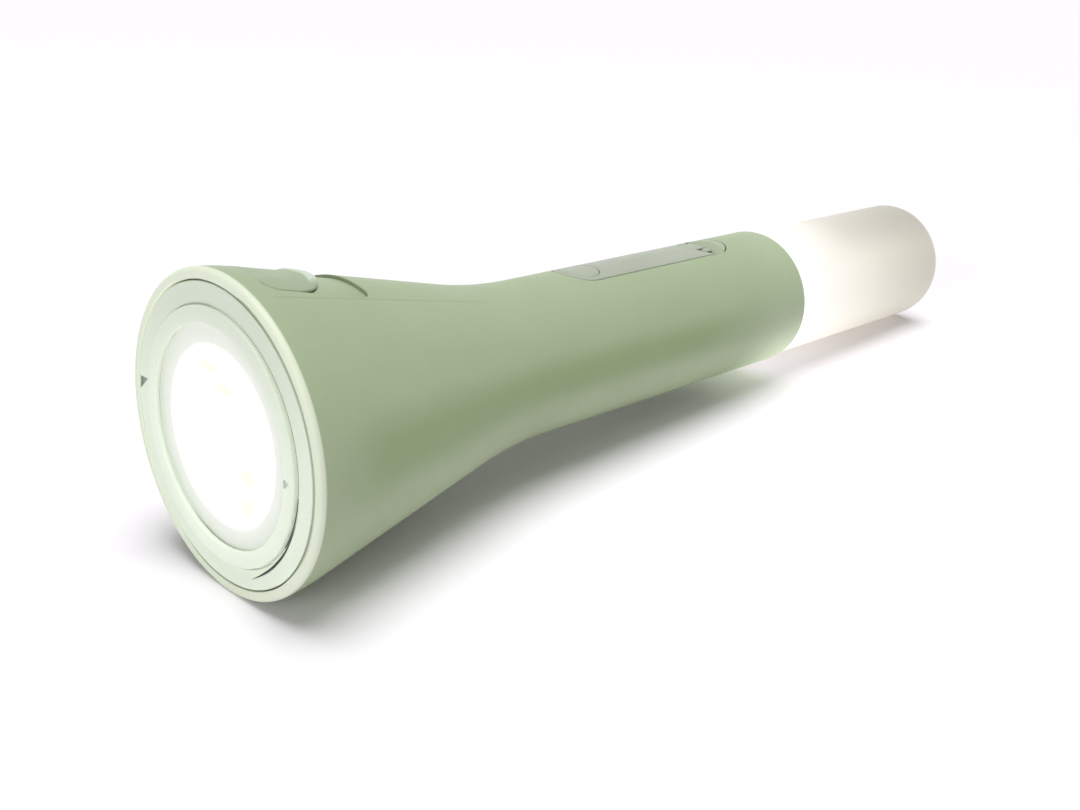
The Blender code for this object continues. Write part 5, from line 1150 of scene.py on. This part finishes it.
def make_boss(material):
    """The crank's hub, with the ears that hold the hinge pin and the ramp that stops the arm."""
    corners = [(ARM_TOP + GAP, 0.0, 0.0), (ARM_TOP + GAP, HUB_RADIUS, 0.0)]
    corners.append((ARM_BOTTOM, HUB_RADIUS, 0.0))
    corners += [(ARM_BOTTOM, SHAFT_RADIUS, 0.0), (SHAFT_END, SHAFT_RADIUS, 0.0)]
    corners += [(SHAFT_END, SHAFT_TIP_RADIUS, 0.0), (SHAFT_TIP_END, SHAFT_TIP_RADIUS, 0.0)]
    corners.append((SHAFT_TIP_END, 0.0, 0.0))
    boss = made("crank_boss", turned(filleted(corners), SMALL_SIDES, "Z", (HUB_AT, 0.0, 0.0)))
    bevelled(rounded_off(boss), CRANK_EDGE)
    base_top = HINGE_Z - HINGE_DROP - GAP
    slot_back = HINGE_AT + HINGE_DROP + GAP
    slot_half = TONGUE_HALF_WIDTH + GAP
    ear_half = slot_half + EAR_WIDTH
    wide = 2 * CRANK_HALF_WIDTH
    front = HUB_AT - wide
    high = ARM_TOP + HINGE_DROP
    shaped(boss, block((front, -slot_half, base_top), (slot_back, slot_half, high)))
    for side in (-1, 1):
        edges = sorted((side * ear_half, side * wide))
        shaped(boss, block((front, edges[0], base_top), (slot_back + GAP, edges[1], high)))
    turn = pi - FOLD_LIMIT
    clear = HINGE_DROP + GAP
    foot = (HINGE_AT + sin(turn) * clear, HINGE_Z - cos(turn) * clear)
    start = (slot_back, foot[1] + (slot_back - foot[0]) * tan(turn))
    crest = (slot_back + (high - start[1]) / tan(turn), high)
    rim = arc((HINGE_AT, HINGE_Z), EAR_RADIUS, 0.0, pi, 32)
    outline = [(front, high), crest, start, *rim]
    outline += [(HINGE_AT - EAR_RADIUS, base_top), (front, base_top)]
    shaped(boss, prism(outline, -wide, wide, "Y"))
    shaped(boss, rod(-wide, wide, HINGE_PIN_RADIUS + GAP, 32, "Y", (HINGE_AT, 0.0, HINGE_Z)))
    placed(boss, "housing", "crank_grey", material, "crank_hub")


# Tail


def make_tube():
    bore = DIFFUSER_RADIUS - DIFFUSER_WALL
    neck_bore = DIFFUSER_NECK - DIFFUSER_WALL
    foot = DIFFUSER_START + HANDLE_EDGE
    rest = DIFFUSER_END - DIFFUSER_EDGE
    outline = [(DIFFUSER_NECK_END, neck_bore), (DIFFUSER_NECK_END, DIFFUSER_NECK)]
    outline.append((DIFFUSER_START, DIFFUSER_NECK))
    outline += arc((foot, DIFFUSER_RADIUS - HANDLE_EDGE), HANDLE_EDGE, pi, pi / 2, 5)
    outline += [(a, DIFFUSER_RADIUS) for a in places(foot, rest, 0.003)[1:]]
    outline += arc((rest, DIFFUSER_RADIUS - DIFFUSER_EDGE), DIFFUSER_EDGE, pi / 2, 0.0, 16)
    outline += [(DIFFUSER_END, DIFFUSER_TIP_RING), (DIFFUSER_END, 0.0)]
    outline.append((DIFFUSER_END - DIFFUSER_WALL, 0.0))
    inner_edge = DIFFUSER_EDGE - DIFFUSER_WALL
    outline += arc((rest, bore - inner_edge), inner_edge, 0.0, pi / 2, 8)
    outline += [(DIFFUSER_START + DIFFUSER_WALL, bore), (DIFFUSER_START + DIFFUSER_WALL, neck_bore)]
    tube = made("lantern_tube", turned(outline, FINE_SIDES))
    placed(tube, "housing", "frosted_diffuser", frosted_tube(), "diffuser")


# Carried-over CAD nodes


def dress_nodes():
    """Give every CAD node that still shows its own finish."""
    finishes = {
        "circuit_board": circuit_board(),
        "aluminium": metal("milled_aluminium", (0.72, 0.73, 0.75, 1.0), 0.36, (14.0, 1.0, 14.0)),
        "brass": metal("turned_brass", (0.72, 0.52, 0.22, 1.0), 0.3),
        "white_nylon": plastic("white_nylon", (0.74, 0.73, 0.67, 1.0), 0.45, 0.00001, 0.04, 0.2),
        "black_plastic": plastic("black_moulding", (0.035, 0.035, 0.037, 1.0), 0.5, 0.00003, 0.2, 0.3),
        "black_rubber": plastic("black_rubber", (0.02, 0.02, 0.021, 1.0), 0.75, 0.00004, 0.25, 0.1),
        "sage_shell": plastic("tray_moulding", colour(160, 174, 143), 0.46, mottle=0.04),
        "battery_sleeve": battery_sleeve(),
        "copper_winding": copper_winding(),
        "reflector_coat": reflector_coat(),
        "steel": metal("turned_steel", (0.55, 0.55, 0.56, 1.0), 0.3),
    }
    parts = {part["node"]: part["material_slot"] for part in frame["record"]["subparts"]}
    for name, obj in frame["nodes"].items():
        finish = finishes.get(parts[name])
        if finish is None:
            continue
        for slot in obj.material_slots:
            slot.material = finish.material


# Stage


def shown(tree):
    """1 for rays that show a thing to the camera, straight or in a reflection, and 0 for light."""
    rays = node(tree, "ShaderNodeLightPath").outputs
    seen = maths(tree, "MAXIMUM", rays["Is Camera Ray"], rays["Is Glossy Ray"])
    return maths(tree, "MAXIMUM", seen, rays["Is Transmission Ray"])


def make_stage():
    """A pale floor, an even white studio, a broad lamp overhead and a soft one at the head."""
    bm = bmesh.new()
    bmesh.ops.create_grid(bm, x_segments=1, y_segments=1, size=FLOOR_HALF)
    floor = made("floor", bm)
    paper = bpy.data.materials.new("floor_paper")
    paper.use_nodes = True
    tree = paper.node_tree
    tree.nodes.remove(tree.nodes["Principled BSDF"])
    output = tree.nodes["Material Output"]
    diffuse = node(tree, "ShaderNodeBsdfDiffuse", {"Color": FLOOR_TINT}).outputs[0]
    lift = product(tree, shown(tree), FLOOR_LIFT)
    glow = node(tree, "ShaderNodeEmission", {"Strength": lift}).outputs[0]
    both = node(tree, "ShaderNodeAddShader", {0: diffuse, 1: glow}).outputs[0]
    tree.links.new(both, output.inputs["Surface"])
    floor.data.materials.append(paper)

    world = bpy.data.worlds.new("studio")
    bpy.context.scene.world = world
    world.use_nodes = True
    tree = world.node_tree
    background = tree.nodes["Background"]
    strength = spread(tree, shown(tree), 0.0, 1.0, STUDIO_LIGHT)
    tree.links.new(strength, background.inputs["Strength"])
    background.inputs["Color"].default_value = (1.0, 1.0, 1.0, 1.0)

    key = bpy.data.lights.new("key", "SUN")
    key.energy = KEY_STRENGTH
    key.angle = KEY_SPREAD
    aimed("key", key, KEY_FROM, 1.0)
    fill = bpy.data.lights.new("fill", "AREA")
    fill.energy = FILL_WATTS
    fill.size = FILL_SIZE
    aimed("fill", fill, FILL_FROM, FILL_DISTANCE)


def aimed(name, light, direction, distance):
    """Hang a lamp out in a direction, looking back at the torch."""
    lamp = linked(name, light)
    outward = Vector(direction).normalized()
    lamp.location = outward * distance
    lamp.rotation_euler = outward.to_track_quat("Z", "Y").to_euler()


def make_camera():
    data = bpy.data.cameras.new("camera")
    data.lens = CAMERA_LENS
    data.sensor_width = 36.0
    data.clip_start = 0.01
    camera = linked("camera", data)
    camera.location = CAMERA_PLACE
    camera.rotation_euler = CAMERA_TURN
    bpy.context.scene.camera = camera


make_camera()
make_stage()
ring_material = pale_ring()
crank_material = crank_finish()
make_shell()
make_bezel(ring_material)
make_turning_ring(ring_material)
make_lens()
make_slider()
make_arm(crank_material)
make_knob(crank_material)
make_boss(crank_material)
make_tube()
dress_nodes()
bpy.context.scene.view_settings.view_transform = "Standard"
